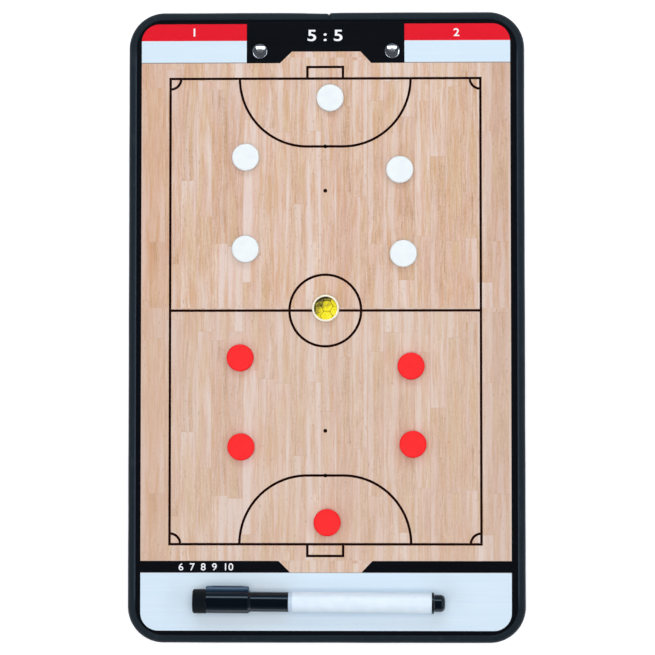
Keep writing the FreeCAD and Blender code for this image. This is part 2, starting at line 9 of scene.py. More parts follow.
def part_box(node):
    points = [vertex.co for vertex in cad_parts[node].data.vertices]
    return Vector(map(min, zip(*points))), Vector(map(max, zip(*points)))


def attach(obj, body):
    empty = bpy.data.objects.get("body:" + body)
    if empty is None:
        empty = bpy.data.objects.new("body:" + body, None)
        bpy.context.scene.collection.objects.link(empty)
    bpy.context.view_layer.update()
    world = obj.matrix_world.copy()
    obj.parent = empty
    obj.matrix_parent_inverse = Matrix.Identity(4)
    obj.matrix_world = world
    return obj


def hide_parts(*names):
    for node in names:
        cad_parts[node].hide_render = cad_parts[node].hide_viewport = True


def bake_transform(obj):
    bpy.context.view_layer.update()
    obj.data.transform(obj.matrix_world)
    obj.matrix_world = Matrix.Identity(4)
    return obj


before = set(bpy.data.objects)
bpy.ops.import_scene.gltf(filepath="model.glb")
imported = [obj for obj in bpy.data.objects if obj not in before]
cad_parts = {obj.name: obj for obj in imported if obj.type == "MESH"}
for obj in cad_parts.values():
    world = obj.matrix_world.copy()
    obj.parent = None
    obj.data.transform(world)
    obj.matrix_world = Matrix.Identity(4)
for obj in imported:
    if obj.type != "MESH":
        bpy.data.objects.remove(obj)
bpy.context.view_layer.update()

# Core panel: a stiff board pressed from wood fibre, cut to the outline with round corners.
# The steel sheets and the edge trim close it in, so it shows only when the board is apart.

MM = 0.001


def dye(*levels):
    """Linear colour of sRGB levels from 0 to 255, by the standard's two-part curve."""
    shares = np.array(levels) / 255
    linear = np.where(shares <= 0.04045, shares / 12.92, ((shares + 0.055) / 1.055) ** 2.4)
    return (*linear.tolist(), 1.0)


class Level:
    """A shader value that takes part in sums: each operator adds one Math node."""

    def __init__(self, nodes, socket):
        self.nodes = nodes
        self.socket = socket

    def math(self, operation, *values):
        return self.nodes.add("Math", {"operation": operation}, dict(enumerate(values)))

    def __add__(self, other):
        return self.math("ADD", self, other)

    def __radd__(self, other):
        return self.math("ADD", other, self)

    def __sub__(self, other):
        return self.math("SUBTRACT", self, other)

    def __rsub__(self, other):
        return self.math("SUBTRACT", other, self)

    def __mul__(self, other):
        return self.math("MULTIPLY", self, other)

    def __rmul__(self, other):
        return self.math("MULTIPLY", other, self)

    def __truediv__(self, other):
        return self.math("DIVIDE", self, other)

    def __pow__(self, other):
        return self.math("POWER", self, other)

    def floor(self):
        """The whole number at or below the value."""
        return self.math("FLOOR", self)

    def size(self):
        """The value without its sign."""
        return self.math("ABSOLUTE", self)

    def least(self, other):
        """The smaller of this and the other value."""
        return self.math("MINIMUM", self, other)

    def rise(self, low, high):
        """Smooth step: 0 below the low value, 1 above the high one."""
        settings = {"interpolation_type": "SMOOTHSTEP"}
        return self.nodes.add("MapRange", settings, {0: self, 1: low, 2: high})


class Nodes:
    """A node tree with one way to add a node: its kind, its settings, its sockets' values."""

    def __init__(self, tree):
        self.tree = tree

    def add(self, kind, settings, values, output=0):
        """One node: levels are linked to its sockets, plain values are set on them. The stops
        of a colour ramp are pairs of a position and a colour."""
        node = self.tree.nodes.new("ShaderNode" + kind)
        for name, value in settings.items():
            if name == "stops":
                ramp = node.color_ramp.elements
                ramp.remove(ramp[1])
                ramp[0].position, ramp[0].color = value[0]
                for position, colour in value[1:]:
                    ramp.new(position).color = colour
            else:
                setattr(node, name, value)
        for name, value in values.items():
            if isinstance(value, Level):
                self.tree.links.new(value.socket, node.inputs[name])
            else:
                node.inputs[name].default_value = value
        return Level(self, node.outputs[output])

    def parts(self, vector):
        """The X, Y and Z values of a vector."""
        split = self.add("SeparateXYZ", {}, {0: vector})
        return [Level(self, socket) for socket in split.socket.node.outputs]

    def mix(self, share, first, second):
        """Colour between two colours by a share from 0 to 1."""
        return self.add("Mix", {"data_type": "RGBA"}, {0: share, 6: first, 7: second}, 2)


class Finish(Nodes):
    """A material: a principled shader, its constants, and what varies over the surface."""

    def __init__(self, name, constants):
        self.material = bpy.data.materials.new(name)
        self.material.use_nodes = True
        super().__init__(self.material.node_tree)
        self.shader = self.tree.nodes["Principled BSDF"]
        for socket, value in constants.items():
            self.shader.inputs[socket].default_value = value
        self.place = self.add("TexCoord", {}, {}, "Object")

    def feed(self, socket, level):
        """One of the shader's sockets follows a value or a colour."""
        self.tree.links.new(level.socket, self.shader.inputs[socket])

    def noise(self, grain, detail=2.0, shift=(0.0, 0.0, 0.0), at=None):
        """Noise from 0 to 1, its lumps of the given size in millimetres along X, Y and Z."""
        scale = tuple(1 / (size * MM) for size in grain)
        settings = {"operation": "MULTIPLY_ADD"}
        spot = self.add("VectorMath", settings, {0: at or self.place, 1: scale, 2: shift})
        return self.add("TexNoise", {}, {"Vector": spot, "Scale": 1.0, "Detail": detail})

    def bump(self, height, depth):
        """Surface relief of a depth in millimetres where the height goes from 0 to 1."""
        values = {"Height": height, "Distance": depth * MM, "Strength": 1.0}
        self.feed("Normal", self.add("Bump", {}, values))


def show_node(name, finish):
    """A solid of the model that keeps its own mesh and takes a finish."""
    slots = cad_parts[name].data.materials
    slots.clear()
    slots.append(finish.material)


fibreboard = Finish("pressed_fibreboard", {"Specular IOR Level": 0.2})
fibres = fibreboard.noise((0.9, 4.0, 0.9), 4.0)
flecks = fibreboard.noise((0.4, 0.4, 0.4), 1.0).rise(0.62, 0.7)
board_brown = fibreboard.mix(fibres, dye(122, 84, 52), dye(176, 136, 96))
fibreboard.feed("Base Color", fibreboard.mix(flecks, board_brown, dye(84, 54, 34)))
fibreboard.feed("Roughness", 0.72 + 0.2 * fibres)
fibreboard.bump(fibres, 0.08)
show_node("core_panel", fibreboard)

# Steel sheets: thin zinc-plated sheet on both sides of the core, glued on before the rivets
# go through. They are what the counters and the marker cling to.

sheet_zinc = Finish("zinc_plated_sheet", {"Metallic": 1.0})
spangle = sheet_zinc.noise((5.0, 5.0, 5.0), 3.0)
rolling = sheet_zinc.noise((0.25, 18.0, 0.25), 3.0)
sheet_zinc.feed("Base Color", sheet_zinc.mix(spangle, dye(172, 176, 180), dye(212, 215, 218)))
sheet_zinc.feed("Roughness", 0.28 + 0.2 * rolling + 0.12 * spangle)
sheet_zinc.bump(rolling, 0.004)
show_node("front_steel_sheet", sheet_zinc)
show_node("back_steel_sheet", sheet_zinc)

# Front film: a printed dry-wipe film on the front sheet. Its ground is a picture of a strip
# floor in pale maple, printed from one tile that comes twice, above and below halfway.

strip_width, strip_shift = 8.66, 3.1
tile_length, tile_end = 139.6, 10.0
plank_length = 98.0
margin_start, margin_end = 84.0, 92.0

floor_print = Finish("printed_maple_strips", {"IOR": 1.46, "Specular IOR Level": 0.4})
x, y = floor_print.parts(floor_print.place)[:2]
x = x / MM
y = y / MM - tile_end
y_tile = y - tile_length * (y / tile_length).floor()
strip = (x + strip_shift) / strip_width
strip_number = strip.floor()
strip_share = strip - strip_number
strip_luck = floor_print.add("TexWhiteNoise", {"noise_dimensions": "1D"}, {"W": strip_number})
plank = y_tile / plank_length * (0.75 + 0.6 * strip_luck) + 7.0 * strip_luck
plank_number = plank.floor()
plank_share = plank - plank_number
plank_name = floor_print.add("CombineXYZ", {}, {0: strip_number, 1: plank_number, 2: 3.0})
plank_luck = floor_print.add("TexWhiteNoise", {}, {"Vector": plank_name})
plank_shift = plank_luck * 0.4 + strip_number * 0.013
tile_place = floor_print.add("CombineXYZ", {}, {0: x * MM, 1: y_tile * MM, 2: plank_shift})
bend = floor_print.noise((16.0, 34.0, 30.0), 1.0, at=tile_place)
wiggle = floor_print.noise((2.6, 8.0, 30.0), 1.0, (6.0, 2.0, 4.0), tile_place)
x_bent = x + 3.4 * bend + 0.8 * wiggle
bent_place = floor_print.add("CombineXYZ", {}, {0: x_bent * MM, 1: y_tile * MM, 2: plank_shift})
sapwood = floor_print.noise((4.2, 105.0, 3.0), 1.0, at=bent_place).rise(0.5, 0.62)
amber = floor_print.noise((1.5, 24.0, 3.0), 2.0, (4.0, 9.0, 2.0), bent_place).rise(0.5, 0.66)
figure = floor_print.noise((0.9, 22.0, 2.0), 3.0, (7.0, 1.0, 5.0), bent_place)
grain = floor_print.noise((0.4, 8.0, 2.0), 2.0, (1.0, 5.0, 9.0), bent_place)
rosy = floor_print.noise((5.0, 60.0, 9.0), 1.0, (8.0, 3.0, 6.0), tile_place).rise(0.42, 0.6)
straw = floor_print.noise((6.0, 44.0, 9.0), 1.0, (2.0, 8.0, 4.0), tile_place).rise(0.5, 0.66)
mottle = floor_print.noise((0.9, 1.5, 1.0), 2.0, (2.0, 7.0, 1.0), tile_place)
blush = floor_print.noise((12.0, 22.0, 5.0), 2.0, (3.0, 2.0, 8.0), tile_place)
flecks = floor_print.noise((0.9, 3.2, 1.0), 1.0, (5.0, 5.0, 5.0), bent_place).rise(0.67, 0.78)
tone = 0.5 + 0.42 * (plank_luck - 0.5) + (figure - 0.5) + (grain - 0.5)
tone = tone + 0.55 * (mottle - 0.5) + 0.6 * (blush - 0.5)
maple_stops = [
    (0.0, dye(186, 148, 118)),
    (0.28, dye(207, 172, 144)),
    (0.5, dye(218, 187, 164)),
    (0.72, dye(224, 198, 178)),
    (1.0, dye(234, 214, 198)),
]
maple = floor_print.add("ValToRGB", {"stops": maple_stops}, {0: tone})
sapwood_share = sapwood * (0.3 + 0.5 * plank_luck)
maple = floor_print.mix(rosy * 0.34, maple, dye(222, 186, 176))
maple = floor_print.mix(straw * 0.34, maple, dye(216, 188, 146))
maple = floor_print.mix(sapwood_share, maple, dye(229, 212, 204))
maple = floor_print.mix(amber * (0.56 - 0.36 * sapwood), maple, dye(211, 163, 124))
left_margin = (0 - x).rise(margin_start, margin_end)
right_margin = x.rise(margin_start, margin_end)
maple = floor_print.mix(left_margin * 0.34, maple, dye(204, 152, 112))
maple = floor_print.mix(right_margin * 0.26, maple, dye(190, 156, 136))
lower_half = 1 - y.rise(-6.0, 6.0)
maple = floor_print.mix(lower_half * 0.22, maple, dye(210, 194, 180))
maple = floor_print.mix(flecks * 0.42, maple, dye(170, 126, 92))
side_seam = (strip_share - 0.5).size().rise(0.46, 0.5)
end_seam = (plank_share - 0.5).size().rise(0.497, 0.5)
maple = floor_print.mix(side_seam * (0.2 + 0.5 * strip_luck), maple, dye(204, 168, 142))
maple = floor_print.mix(end_seam * 0.2, maple, dye(176, 138, 112))
film_haze = floor_print.noise((38.0, 24.0, 10.0), 3.0)
wipe_marks = floor_print.noise((11.0, 1.2, 5.0), 3.0)
floor_print.feed("Base Color", maple)
floor_print.feed("Roughness", 0.16 + 0.08 * film_haze + 0.06 * wipe_marks)
floor_print.bump(film_haze, 0.01)
show_node("front_print_film", floor_print)

# Ink on the front film: a black border and header, red and white name panels, a lower band,
# a white writing panel and the court's lines in brown-black, screened over the floor print.

film_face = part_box("front_print_film")[1].z / MM
ink_height, ink_sink = 0.012, 0.004
longest_slab = 6.0


def shell(grid, ring_rows=False, ring_columns=False, lids=False):
    """Points and faces of a grid of points, in an array of rows by columns by three. Rows or
    columns close into rings where asked, and lids close the first and last row with one face."""
    rows, columns = grid.shape[:2]
    index = np.arange(rows * columns).reshape(rows, columns)
    ends = [index[0].tolist(), index[-1, ::-1].tolist()] if lids else []
    if ring_rows:
        index = np.concatenate([index, index[:1]])
    if ring_columns:
        index = np.concatenate([index, index[:, :1]], axis=1)
    corners = [index[:-1, :-1], index[1:, :-1], index[1:, 1:], index[:-1, 1:]]
    return grid.reshape(-1, 3), np.stack(corners, axis=-1).reshape(-1, 4), ends


def piece(name, body, finish, shells, nodes=(), sharp=35.0):
    """Mesh from closed shells in millimetres: welded, facing outwards, smooth but for edges
    sharper than the angle. It rides on a body named by a string; given anything else as its body,
    it is baked in place and rides on none. It stands for the nodes named."""
    faces = []
    first = 0
    for points, quads, ends in shells:
        faces += (quads + first).tolist()
        faces += [[first + corner for corner in end] for end in ends]
        first += len(points)
    mesh = bpy.data.meshes.new(name)
    mesh.from_pydata(np.concatenate([made[0] for made in shells]) * MM, [], faces)
    welded = bmesh.new()
    welded.from_mesh(mesh)
    bmesh.ops.remove_doubles(welded, verts=welded.verts, dist=1e-7)
    bmesh.ops.recalc_face_normals(welded, faces=welded.faces)
    welded.to_mesh(mesh)
    welded.free()
    mesh.shade_smooth()
    mesh.set_sharp_from_angle(angle=math.radians(sharp))
    mesh.materials.append(finish.material)
    made = bpy.data.objects.new(name, mesh)
    bpy.context.scene.collection.objects.link(made)
    if isinstance(body, str):
        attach(made, body)
    else:
        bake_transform(made)
    if nodes:
        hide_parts(*nodes)
    return made


def ink(left, right, face, ring=False):
    """Slab of ink between two lines in the plane: each pair of points carries a flat section
    of four corners. The face that it lies on is a level and 1 for up or -1 for down. Long runs
    are cut into even steps."""
    level, side = face
    sides = np.concatenate([left, right], axis=1)
    if ring:
        sides = np.concatenate([sides, sides[:1]])
    runs = np.linalg.norm(np.diff(sides, axis=0), axis=1)
    stations = [index + np.arange(cuts) / cuts
                for index, cuts in enumerate(np.ceil(runs / longest_slab).astype(int))]
    stations = np.concatenate(stations + ([] if ring else [[len(runs)]]))
    sides = np.column_stack([np.interp(stations, np.arange(len(sides)), line) for line in sides.T])
    left, right = sides[:, :2], sides[:, 2:]
    low = np.full(len(left), level - side * ink_sink)
    high = np.full(len(left), level + side * ink_height)
    corners = [(right, low), (left, low), (left, high), (right, high)]
    grid = np.stack([np.column_stack(corner) for corner in corners], axis=1)
    return shell(grid, ring_rows=ring, ring_columns=True, lids=not ring)


def stroke(path, width, face, ring=False):
    """Line of ink of one width: both sides are the path moved along its mitres."""
    path = np.array(path, float)
    ahead = np.roll(path, -1, axis=0) - path
    if not ring:
        ahead[-1] = ahead[-2]
    ahead /= np.linalg.norm(ahead, axis=1, keepdims=True)
    behind = np.roll(ahead, 1, axis=0)
    if not ring:
        behind[0] = ahead[0]
    mitre = (ahead + behind) @ np.array([[0, 1], [-1, 0]])
    mitre /= 1 + np.sum(ahead * behind, axis=1, keepdims=True)
    return ink(path + mitre * width / 2, path - mitre * width / 2, face, ring)


def arc_path(centre, radius, start, end, steps=24):
    """Points round a centre between two angles in degrees: radius times cosine and sine."""
    angles = np.radians(np.linspace(start, end, steps + 1))
    return centre + radius * np.column_stack([np.cos(angles), np.sin(angles)])


def round_frame(low, high, radius, steps=24):
    """Closed path round a rectangle with quarter circles at its corners."""
    (x_low, y_low), (x_high, y_high) = np.array(low) + radius, np.array(high) - radius
    turns = [(x_high, y_high, 0), (x_low, y_high, 90), (x_low, y_low, 180), (x_high, y_low, 270)]
    arcs = [arc_path((x, y), radius, start, start + 90, steps) for x, y, start in turns]
    return np.concatenate(arcs)


def ink_finish(name, colour, deeper, roughness=0.16):
    """Screen ink under the film's gloss: nearly flat colour with faint streaks of the squeegee."""
    finish = Finish(name, {"IOR": 1.46, "Specular IOR Level": 0.4})
    streaks = finish.noise((60.0, 1.4, 10.0), 3.0)
    haze = finish.noise((38.0, 24.0, 10.0), 3.0)
    share = (0.6 * streaks + 0.4 * haze).rise(0.35, 0.65)
    finish.feed("Base Color", finish.mix(share, dye(*colour), dye(*deeper)))
    finish.feed("Roughness", roughness + 0.1 * haze)
    finish.bump(haze, 0.01)
    return finish


black_ink = ink_finish("black_ink", (6, 9, 15), (3, 5, 10))
red_ink = ink_finish("red_ink", (231, 10, 38), (226, 8, 34))
white_ink = ink_finish("white_ink", (217, 235, 247), (212, 232, 246))
grey_ink = ink_finish("grey_ink", (150, 147, 145), (138, 136, 134))
front = (film_face, 1.0)

print_left, print_right = -102.9, 102.1
print_low, print_high = -168.2, 168.4
print_corner = 10.0
border_reach, border_corner = np.array([106.0, 171.0]), 16.0
border_outside = round_frame(-border_reach, border_reach, border_corner)
border_inside = round_frame((print_left, print_low), (print_right, print_high), print_corner)
border_ink = ink(border_outside, border_inside, front, ring=True)

header_left, header_right = -44.4, 43.4
panel_low, panel_split = 146.95, 159.0
header_low, header_raised = 146.45, 152.9
header_line = [
    (header_left, header_low),
    (-25.9, header_low),
    (-19.2, header_raised),
    (18.9, header_raised),
    (24.9, header_low),
    (header_right, header_low),
]
header_top = [(x, print_high) for x, _ in header_line]
header_ink = ink(header_top, header_line, front)

band_high, band_low = -129.8, -136.15
band_left_ink = ink(
    [(print_left, band_high), (-26.5, band_high)],
    [(print_left, band_low), (-20.1, band_low)],
    front,
)
band_right_ink = ink(
    [(25.4, band_high), (print_right, band_high)],
    [(19.3, band_low), (print_right, band_low)],
    front,
)
black_areas = [border_ink, header_ink, band_left_ink, band_right_ink]
piece("front_black_print", "board", black_ink, black_areas)

corner_reach = panel_split - (print_high - print_corner)
corner_start = 180 - math.degrees(math.asin(corner_reach / print_corner))
left_corner = arc_path((print_left + print_corner, print_high - print_corner), print_corner,
                       corner_start, 90)
red_left_top = np.concatenate([left_corner, [(header_left, print_high)]])
right_corner = arc_path((print_right - print_corner, print_high - print_corner), print_corner,
                        90, 180 - corner_start)
red_right_top = np.concatenate([[(header_right, print_high)], right_corner])
red_areas = []
for top_line in (red_left_top, red_right_top):
    foot_line = np.column_stack([top_line[:, 0], np.full(len(top_line), panel_split)])
    red_areas.append(ink(top_line, foot_line, front))
piece("front_red_panels", "board", red_ink, red_areas)

white_areas = []
rule_areas = []
for x_low, x_high in ((print_left, header_left), (header_right, print_right)):
    tops = [(x_low, panel_split), (x_high, panel_split)]
    feet = [(x_low, panel_low), (x_high, panel_low)]
    rules = [(x_low, header_low), (x_high, header_low)]
    white_areas.append(ink(tops, feet, front))
    rule_areas.append(ink(feet, rules, front))
writing_foot = np.concatenate([
    arc_path((print_left + print_corner, print_low + print_corner), print_corner, 180, 270),
    arc_path((print_right - print_corner, print_low + print_corner), print_corner, 270, 360),
])
writing_rule = 0.3
writing_top = np.column_stack([writing_foot[:, 0], np.full(len(writing_foot), band_low)])
writing_top -= (0, writing_rule)
white_areas.append(ink(writing_top, writing_foot, front))
rule_ends = [(print_left, band_low), (print_right, band_low)]
rule_areas.append(ink(rule_ends, np.array(rule_ends) - (0, writing_rule), front))
piece("front_white_panels", "board", white_ink, white_areas)
piece("front_grey_rules", "board", grey_ink, rule_areas)

court_left, court_right = -86.8, 85.5
court_low, court_high = -120.6, 137.8
court_middle = ((court_left + court_right) / 2, (court_low + court_high) / 2)
line_width = 1.4
half_line = line_width / 2
centre_circle = 19.86
post_left, post_right = -10.6, 9.2
goal_depth = 6.45
area_radius = np.array([37.55, 37.9])
corner_radius = 5.9
spot_from_goal = 62.6
spot_radius, area_spot_radius = 1.1, 1.05


def dot(centre, radius, face):
    """Round spot of ink: the upper and lower halves of a circle are its two sides."""
    upper = arc_path(centre, radius, 180, 0, 16)
    lower = arc_path(centre, radius, 180, 360, 16)
    return ink(upper, lower, face)


court_frame = round_frame((court_left, court_low), (court_right, court_high), 0.0, 0)
court_lines = [stroke(court_frame, line_width, front, ring=True)]
x_middle, y_middle = court_middle
circle_left = x_middle - centre_circle
circle_right = x_middle + centre_circle
halfway_breaks = [court_left, circle_left, circle_right, court_right]
for x_start, x_end in zip(halfway_breaks, halfway_breaks[1:]):
    run = [(x_start + half_line, y_middle), (x_end - half_line, y_middle)]
    court_lines.append(stroke(run, line_width, front))
circle_path = arc_path(court_middle, centre_circle, 0, 360, 96)[:-1]
court_lines.append(stroke(circle_path, line_width, front, ring=True))
for goal_line, inwards in ((court_high, -1), (court_low, 1)):
    edge = goal_line + inwards * half_line
    posts = [(post_left, goal_line), (post_right, goal_line)]
    left_arc = arc_path(posts[0], area_radius * (1, -inwards), 180, 270, 32)
    right_arc = arc_path(posts[1], area_radius * (1, -inwards), 270, 360, 32)
    area_path = np.concatenate([left_arc, right_arc])
    area_path[[0, -1], 1] = edge
    court_lines.append(stroke(area_path, line_width, front))
    goal_edge = goal_line - inwards * half_line
    goal_back = goal_line - inwards * goal_depth
    goal_path = [(post_left, goal_edge), (post_left, goal_back), (post_right, goal_back),
                 (post_right, goal_edge)]
    court_lines.append(stroke(goal_path, line_width, front))
    for from_goal, radius in ((spot_from_goal, spot_radius), (area_radius[1], area_spot_radius)):
        court_lines.append(dot((x_middle, goal_line + inwards * from_goal), radius, front))
for x_corner, y_corner, start in (
    (court_left, court_high, 270), (court_right, court_high, 180),
    (court_right, court_low, 90), (court_left, court_low, 0),
):
    shrink = math.degrees(half_line / corner_radius)
    quarter = arc_path((x_corner, y_corner), corner_radius, start + shrink, start + 90 - shrink)
    court_lines.append(stroke(quarter, line_width, front))
line_ink = ink_finish("court_line_ink", (32, 5, 0), (26, 4, 0))
piece("front_court_lines", "board", line_ink, court_lines)

# Numbers on the print: plain figures where such a board has its headings. They are laid over
# the panels in white ink, one step higher than the ink below.

figure_share = 0.7


def figures(name, text, place, height, stretch, bolder, finish):
    """Figures from the plain built-in typeface, whose figures take up a share of its size, made
    a mesh with its middle at the place. They are stretched along X, and bolder by a share of
    their height."""
    curve = bpy.data.curves.new(name, "FONT")
    curve.body = text
    curve.size = height * MM / figure_share
    curve.extrude = ink_height * MM / 2
    curve.offset = bolder * height * MM
    writing = bpy.data.objects.new(name, curve)
    mesh = bpy.data.meshes.new_from_object(writing)
    bpy.data.objects.remove(writing)
    points = np.empty(len(mesh.vertices) * 3)
    mesh.vertices.foreach_get("co", points)
    points = points.reshape(-1, 3) * (stretch, 1, 1)
    middle = (points.min(axis=0) + points.max(axis=0)) / 2
    points += np.array((*place, film_face + ink_height)) * MM - middle * (1, 1, 0)
    mesh.vertices.foreach_set("co", points.ravel())
    mesh.materials.clear()
    mesh.materials.append(finish.material)
    made = bpy.data.objects.new(name, mesh)
    bpy.context.scene.collection.objects.link(made)
    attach(made, "board")


figure_white = ink_finish("figure_white_ink", (250, 252, 255), (238, 242, 248))
figures("left_panel_figure", "1", (-73.6, 163.8), 4.3, 1.15, 0.02, figure_white)
figures("right_panel_figure", "2", (72.3, 163.5), 4.3, 1.15, 0.02, figure_white)
figures("header_figures", "5 : 5", (-0.8, 161.9), 6.2, 1.3, 0.02, figure_white)
figures("band_figures", "6  7  8  9  10", (-66.6, -133.1), 3.9, 1.05, 0.012, figure_white)

# Back film: a plain white dry-wipe film on the back sheet, with a black border and one half
# of the court in thin lines below the clip.

back_face = (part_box("back_print_film")[0].z / MM, -1.0)
back_line_width, back_border_width, back_spot_radius = 0.7, 1.6, 1.2
back_border_reach, back_border_corner = np.array([101.5, 166.5]), 11.5
half_court_side, half_court_low, half_court_high = 88.0, -156.0, 112.0
half_circle, half_post, half_area, half_spot = 30.0, 16.0, 62.0, 104.0

back_white = ink_finish("back_dry_wipe_film", (232, 238, 243), (226, 233, 239), 0.2)
show_node("back_print_film", back_white)
back_lines = []
back_border = round_frame(-back_border_reach, back_border_reach, back_border_corner)
back_lines.append(stroke(back_border, back_border_width, back_face, ring=True))
half_frame = round_frame((-half_court_side, half_court_low), (half_court_side, half_court_high),
                         0.0, 0)
back_lines.append(stroke(half_frame, back_line_width, back_face, ring=True))
back_half = back_line_width / 2
arc_trim = math.degrees(back_half / half_circle)
back_circle = arc_path((0, half_court_high), half_circle, 180 + arc_trim, 360 - arc_trim, 40)
back_lines.append(stroke(back_circle, back_line_width, back_face))
back_area = np.concatenate([
    arc_path((half_post, half_court_low), half_area, 0, 90, 32),
    arc_path((-half_post, half_court_low), half_area, 90, 180, 32),
])
back_area[[0, -1], 1] = half_court_low + back_half
back_lines.append(stroke(back_area, back_line_width, back_face))
for from_goal in (half_spot, half_area + back_half):
    back_lines.append(dot((0, half_court_low + from_goal), back_spot_radius, back_face))
piece("back_court_lines", "board", black_ink, back_lines)

# Edge trim: one soft rubber U strip pushed over the whole edge, its cut ends butted at the top,
# a little right of the middle. Its ends are drawn in where it was stretched and pinched when cut.

half_board = np.array([110.0, 175.0])
board_radius = 20.0
trim_middle = (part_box("edge_trim")[0].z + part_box("edge_trim")[1].z) / 2 / MM
joint_high, joint_low = 1.605, 1.595


def trim_section():
    """U section, measured outwards from the board's edge and up from the panel's middle: a
    rounded lip, a bulging nose and the same again below, then the mouth that grips the panel."""
    lip_in, lip_top, mouth, web, rounding = -4.5, 3.3, 2.1, -1.3, 0.8
    shoulder = -2.3
    lip = arc_path((lip_in + rounding, lip_top - rounding), rounding, 180, 90, 8)
    nose_radius = (shoulder**2 + lip_top**2) / (-2 * shoulder)
    spread = math.degrees(math.asin(lip_top / nose_radius))
    nose = arc_path((-nose_radius, 0), nose_radius, spread, -spread, 22)
    foot = arc_path((lip_in + 0.2, mouth + 0.2), 0.2, 270, 180, 3)
    crease = [(-3.05, lip_top), (-2.75, lip_top - 0.05)]
    upper = np.concatenate([foot, lip, crease])
    lower = upper[::-1] * (1, -1)
    grip = [(web, -mouth), (web, mouth)]
    return np.concatenate([upper, nose, lower, grip])


def trim_path():
    """Points, outward directions and distances along the board's edge, clockwise round from
    the joint: straight runs cut into steps, shortest by the joint, and quarter turns."""
    centre = half_board - board_radius
    even = np.linspace(0, 1, 41)[1:-1, None]
    spacings = [even**2.2, even, even, even, 1 - (1 - even) ** 2.2]
    quarter = np.radians(np.linspace(0, 90, 19))
    stops = [(joint_high, half_board[1])]
    points, ways = [np.array(stops)], [np.array([(0.0, 1.0)])]
    for turns, corner in enumerate([(1, 1), (1, -1), (-1, -1), (-1, 1)]):
        angles = math.pi / 2 - turns * math.pi / 2 - quarter
        outward = np.column_stack([np.cos(angles), np.sin(angles)])
        arc = centre * corner + board_radius * outward
        points += [points[-1][-1] + spacings[turns] * (arc[0] - points[-1][-1]), arc]
        ways += [np.repeat(outward[:1], len(even), axis=0), outward]
    end = np.array([(joint_low, half_board[1])])
    points += [points[-1][-1] + spacings[4] * (end - points[-1][-1]), end]
    ways += [np.repeat([(0.0, 1.0)], len(even) + 1, axis=0)]
    path = np.concatenate(points)
    steps = np.linalg.norm(np.diff(path, axis=0), axis=1)
    return path, np.concatenate(ways), np.concatenate([[0], np.cumsum(steps)])


section = trim_section()
path, outward, walked = trim_path()
left_over = walked[-1] - walked
cut_length, cut_depth, cut_pinch = 0.55, 0.8, 0.14
cut_ends = np.exp(-((walked / cut_length) ** 2)) + np.exp(-((left_over / cut_length) ** 2))
draw_in = 0.1 * np.exp(-((walked / 7) ** 2)) + 0.5 * np.exp(-((left_over / 16) ** 2))
draw_in += cut_depth * cut_ends
draw_in += 0.03 + 0.04 * (1 + np.sin(walked / 9.0) * np.sin(walked / 31.0))
looseness = np.clip(1 + section[:, 0] / 2.3, 0, 1)
reach = section[:, 0] - draw_in[:, None] * looseness
trim_grid = np.empty((len(path), len(section), 3))
trim_grid[..., :2] = path[:, None] + outward[:, None] * reach[..., None]
trim_grid[..., 2] = trim_middle + section[:, 1] * (1 - cut_pinch * cut_ends[:, None])

trim_rubber = Finish("trim_rubber", {"Specular IOR Level": 0.2, "IOR": 1.5})
rubber_haze = trim_rubber.noise((16.0, 16.0, 6.0), 3.0)
rubber_bloom = trim_rubber.noise((2.2, 2.2, 2.2), 4.0)
rubber_skin = trim_rubber.noise((0.22, 0.22, 0.22), 2.0)
rubber_scuffs = trim_rubber.noise((3.0, 9.0, 1.0), 4.0).rise(0.6, 0.72)
rubber_share = 0.6 * rubber_haze + 0.4 * rubber_bloom
rubber_colour = trim_rubber.mix(rubber_share, dye(16, 25, 33), dye(24, 36, 46))
# Painted highlight: a pale line in the rubber's colour along the inner lip's rounding on both long
# sides, where the side lamps would catch it, fading out before the corners.
lip_highlight_x = 105.9
trim_x, trim_y = trim_rubber.parts(trim_rubber.place)[:2]
painted_lip_highlight = 1 - (trim_x.size() / MM - lip_highlight_x).size().rise(0.2, 0.6)
painted_lip_highlight = painted_lip_highlight * (1 - (trim_y.size() / MM).rise(146.0, 158.0))
painted_lip_highlight = painted_lip_highlight * (0.5 + 0.8 * rubber_bloom)
rubber_colour = trim_rubber.mix(painted_lip_highlight * 0.75, rubber_colour, dye(52, 65, 78))
rubber_colour = trim_rubber.mix(rubber_scuffs * 0.3, rubber_colour, dye(52, 60, 67))
trim_rubber.feed("Base Color", rubber_colour)
trim_rubber.feed("Roughness", 0.46 + 0.16 * rubber_haze + 0.1 * rubber_scuffs)
trim_rubber.bump(rubber_skin + 0.8 * rubber_bloom, 0.012)
trim_shell = shell(trim_grid, ring_columns=True, lids=True)
piece("edge_strip", "board", trim_rubber, [trim_shell], ["edge_trim"], 40.0)

# Rivets: two plated steel rivets through the header, domed on the print, bright with a satin
# crown whose colour is darkened to grey as painted shade. They go through the board and the clip's
# base, where their tails are set flat.

rivet_places = [(-37.05, 153.1), (36.55, 153.1)]
rivet_head, rivet_shank, rivet_tail = 4.1, 2.0, 3.2
rivet_height, rivet_rim, rivet_tail_height = 1.7, 0.5, 0.9
clip_base_thickness = 0.8
slope_shares, slope_degrees = [0, 0.38, 0.8, 0.97, 1], [0, 12, 22, 26, 75]
rivet_middle = (rivet_places[0][0] + rivet_places[1][0]) / 2
rivet_apart = rivet_places[1][0] - rivet_middle


def turned(profile, steps=72):
    """Surface of revolution about Z: each point of the profile, a radius and a height, is
    carried round a full turn by cosine and sine."""
    radius, height = np.array(profile, float).T[:, :, None]
    angles = np.linspace(0, 2 * math.pi, steps, endpoint=False)
    parts = np.broadcast_arrays(radius * np.cos(angles), radius * np.sin(angles), height)
    return np.stack(parts, axis=-1)


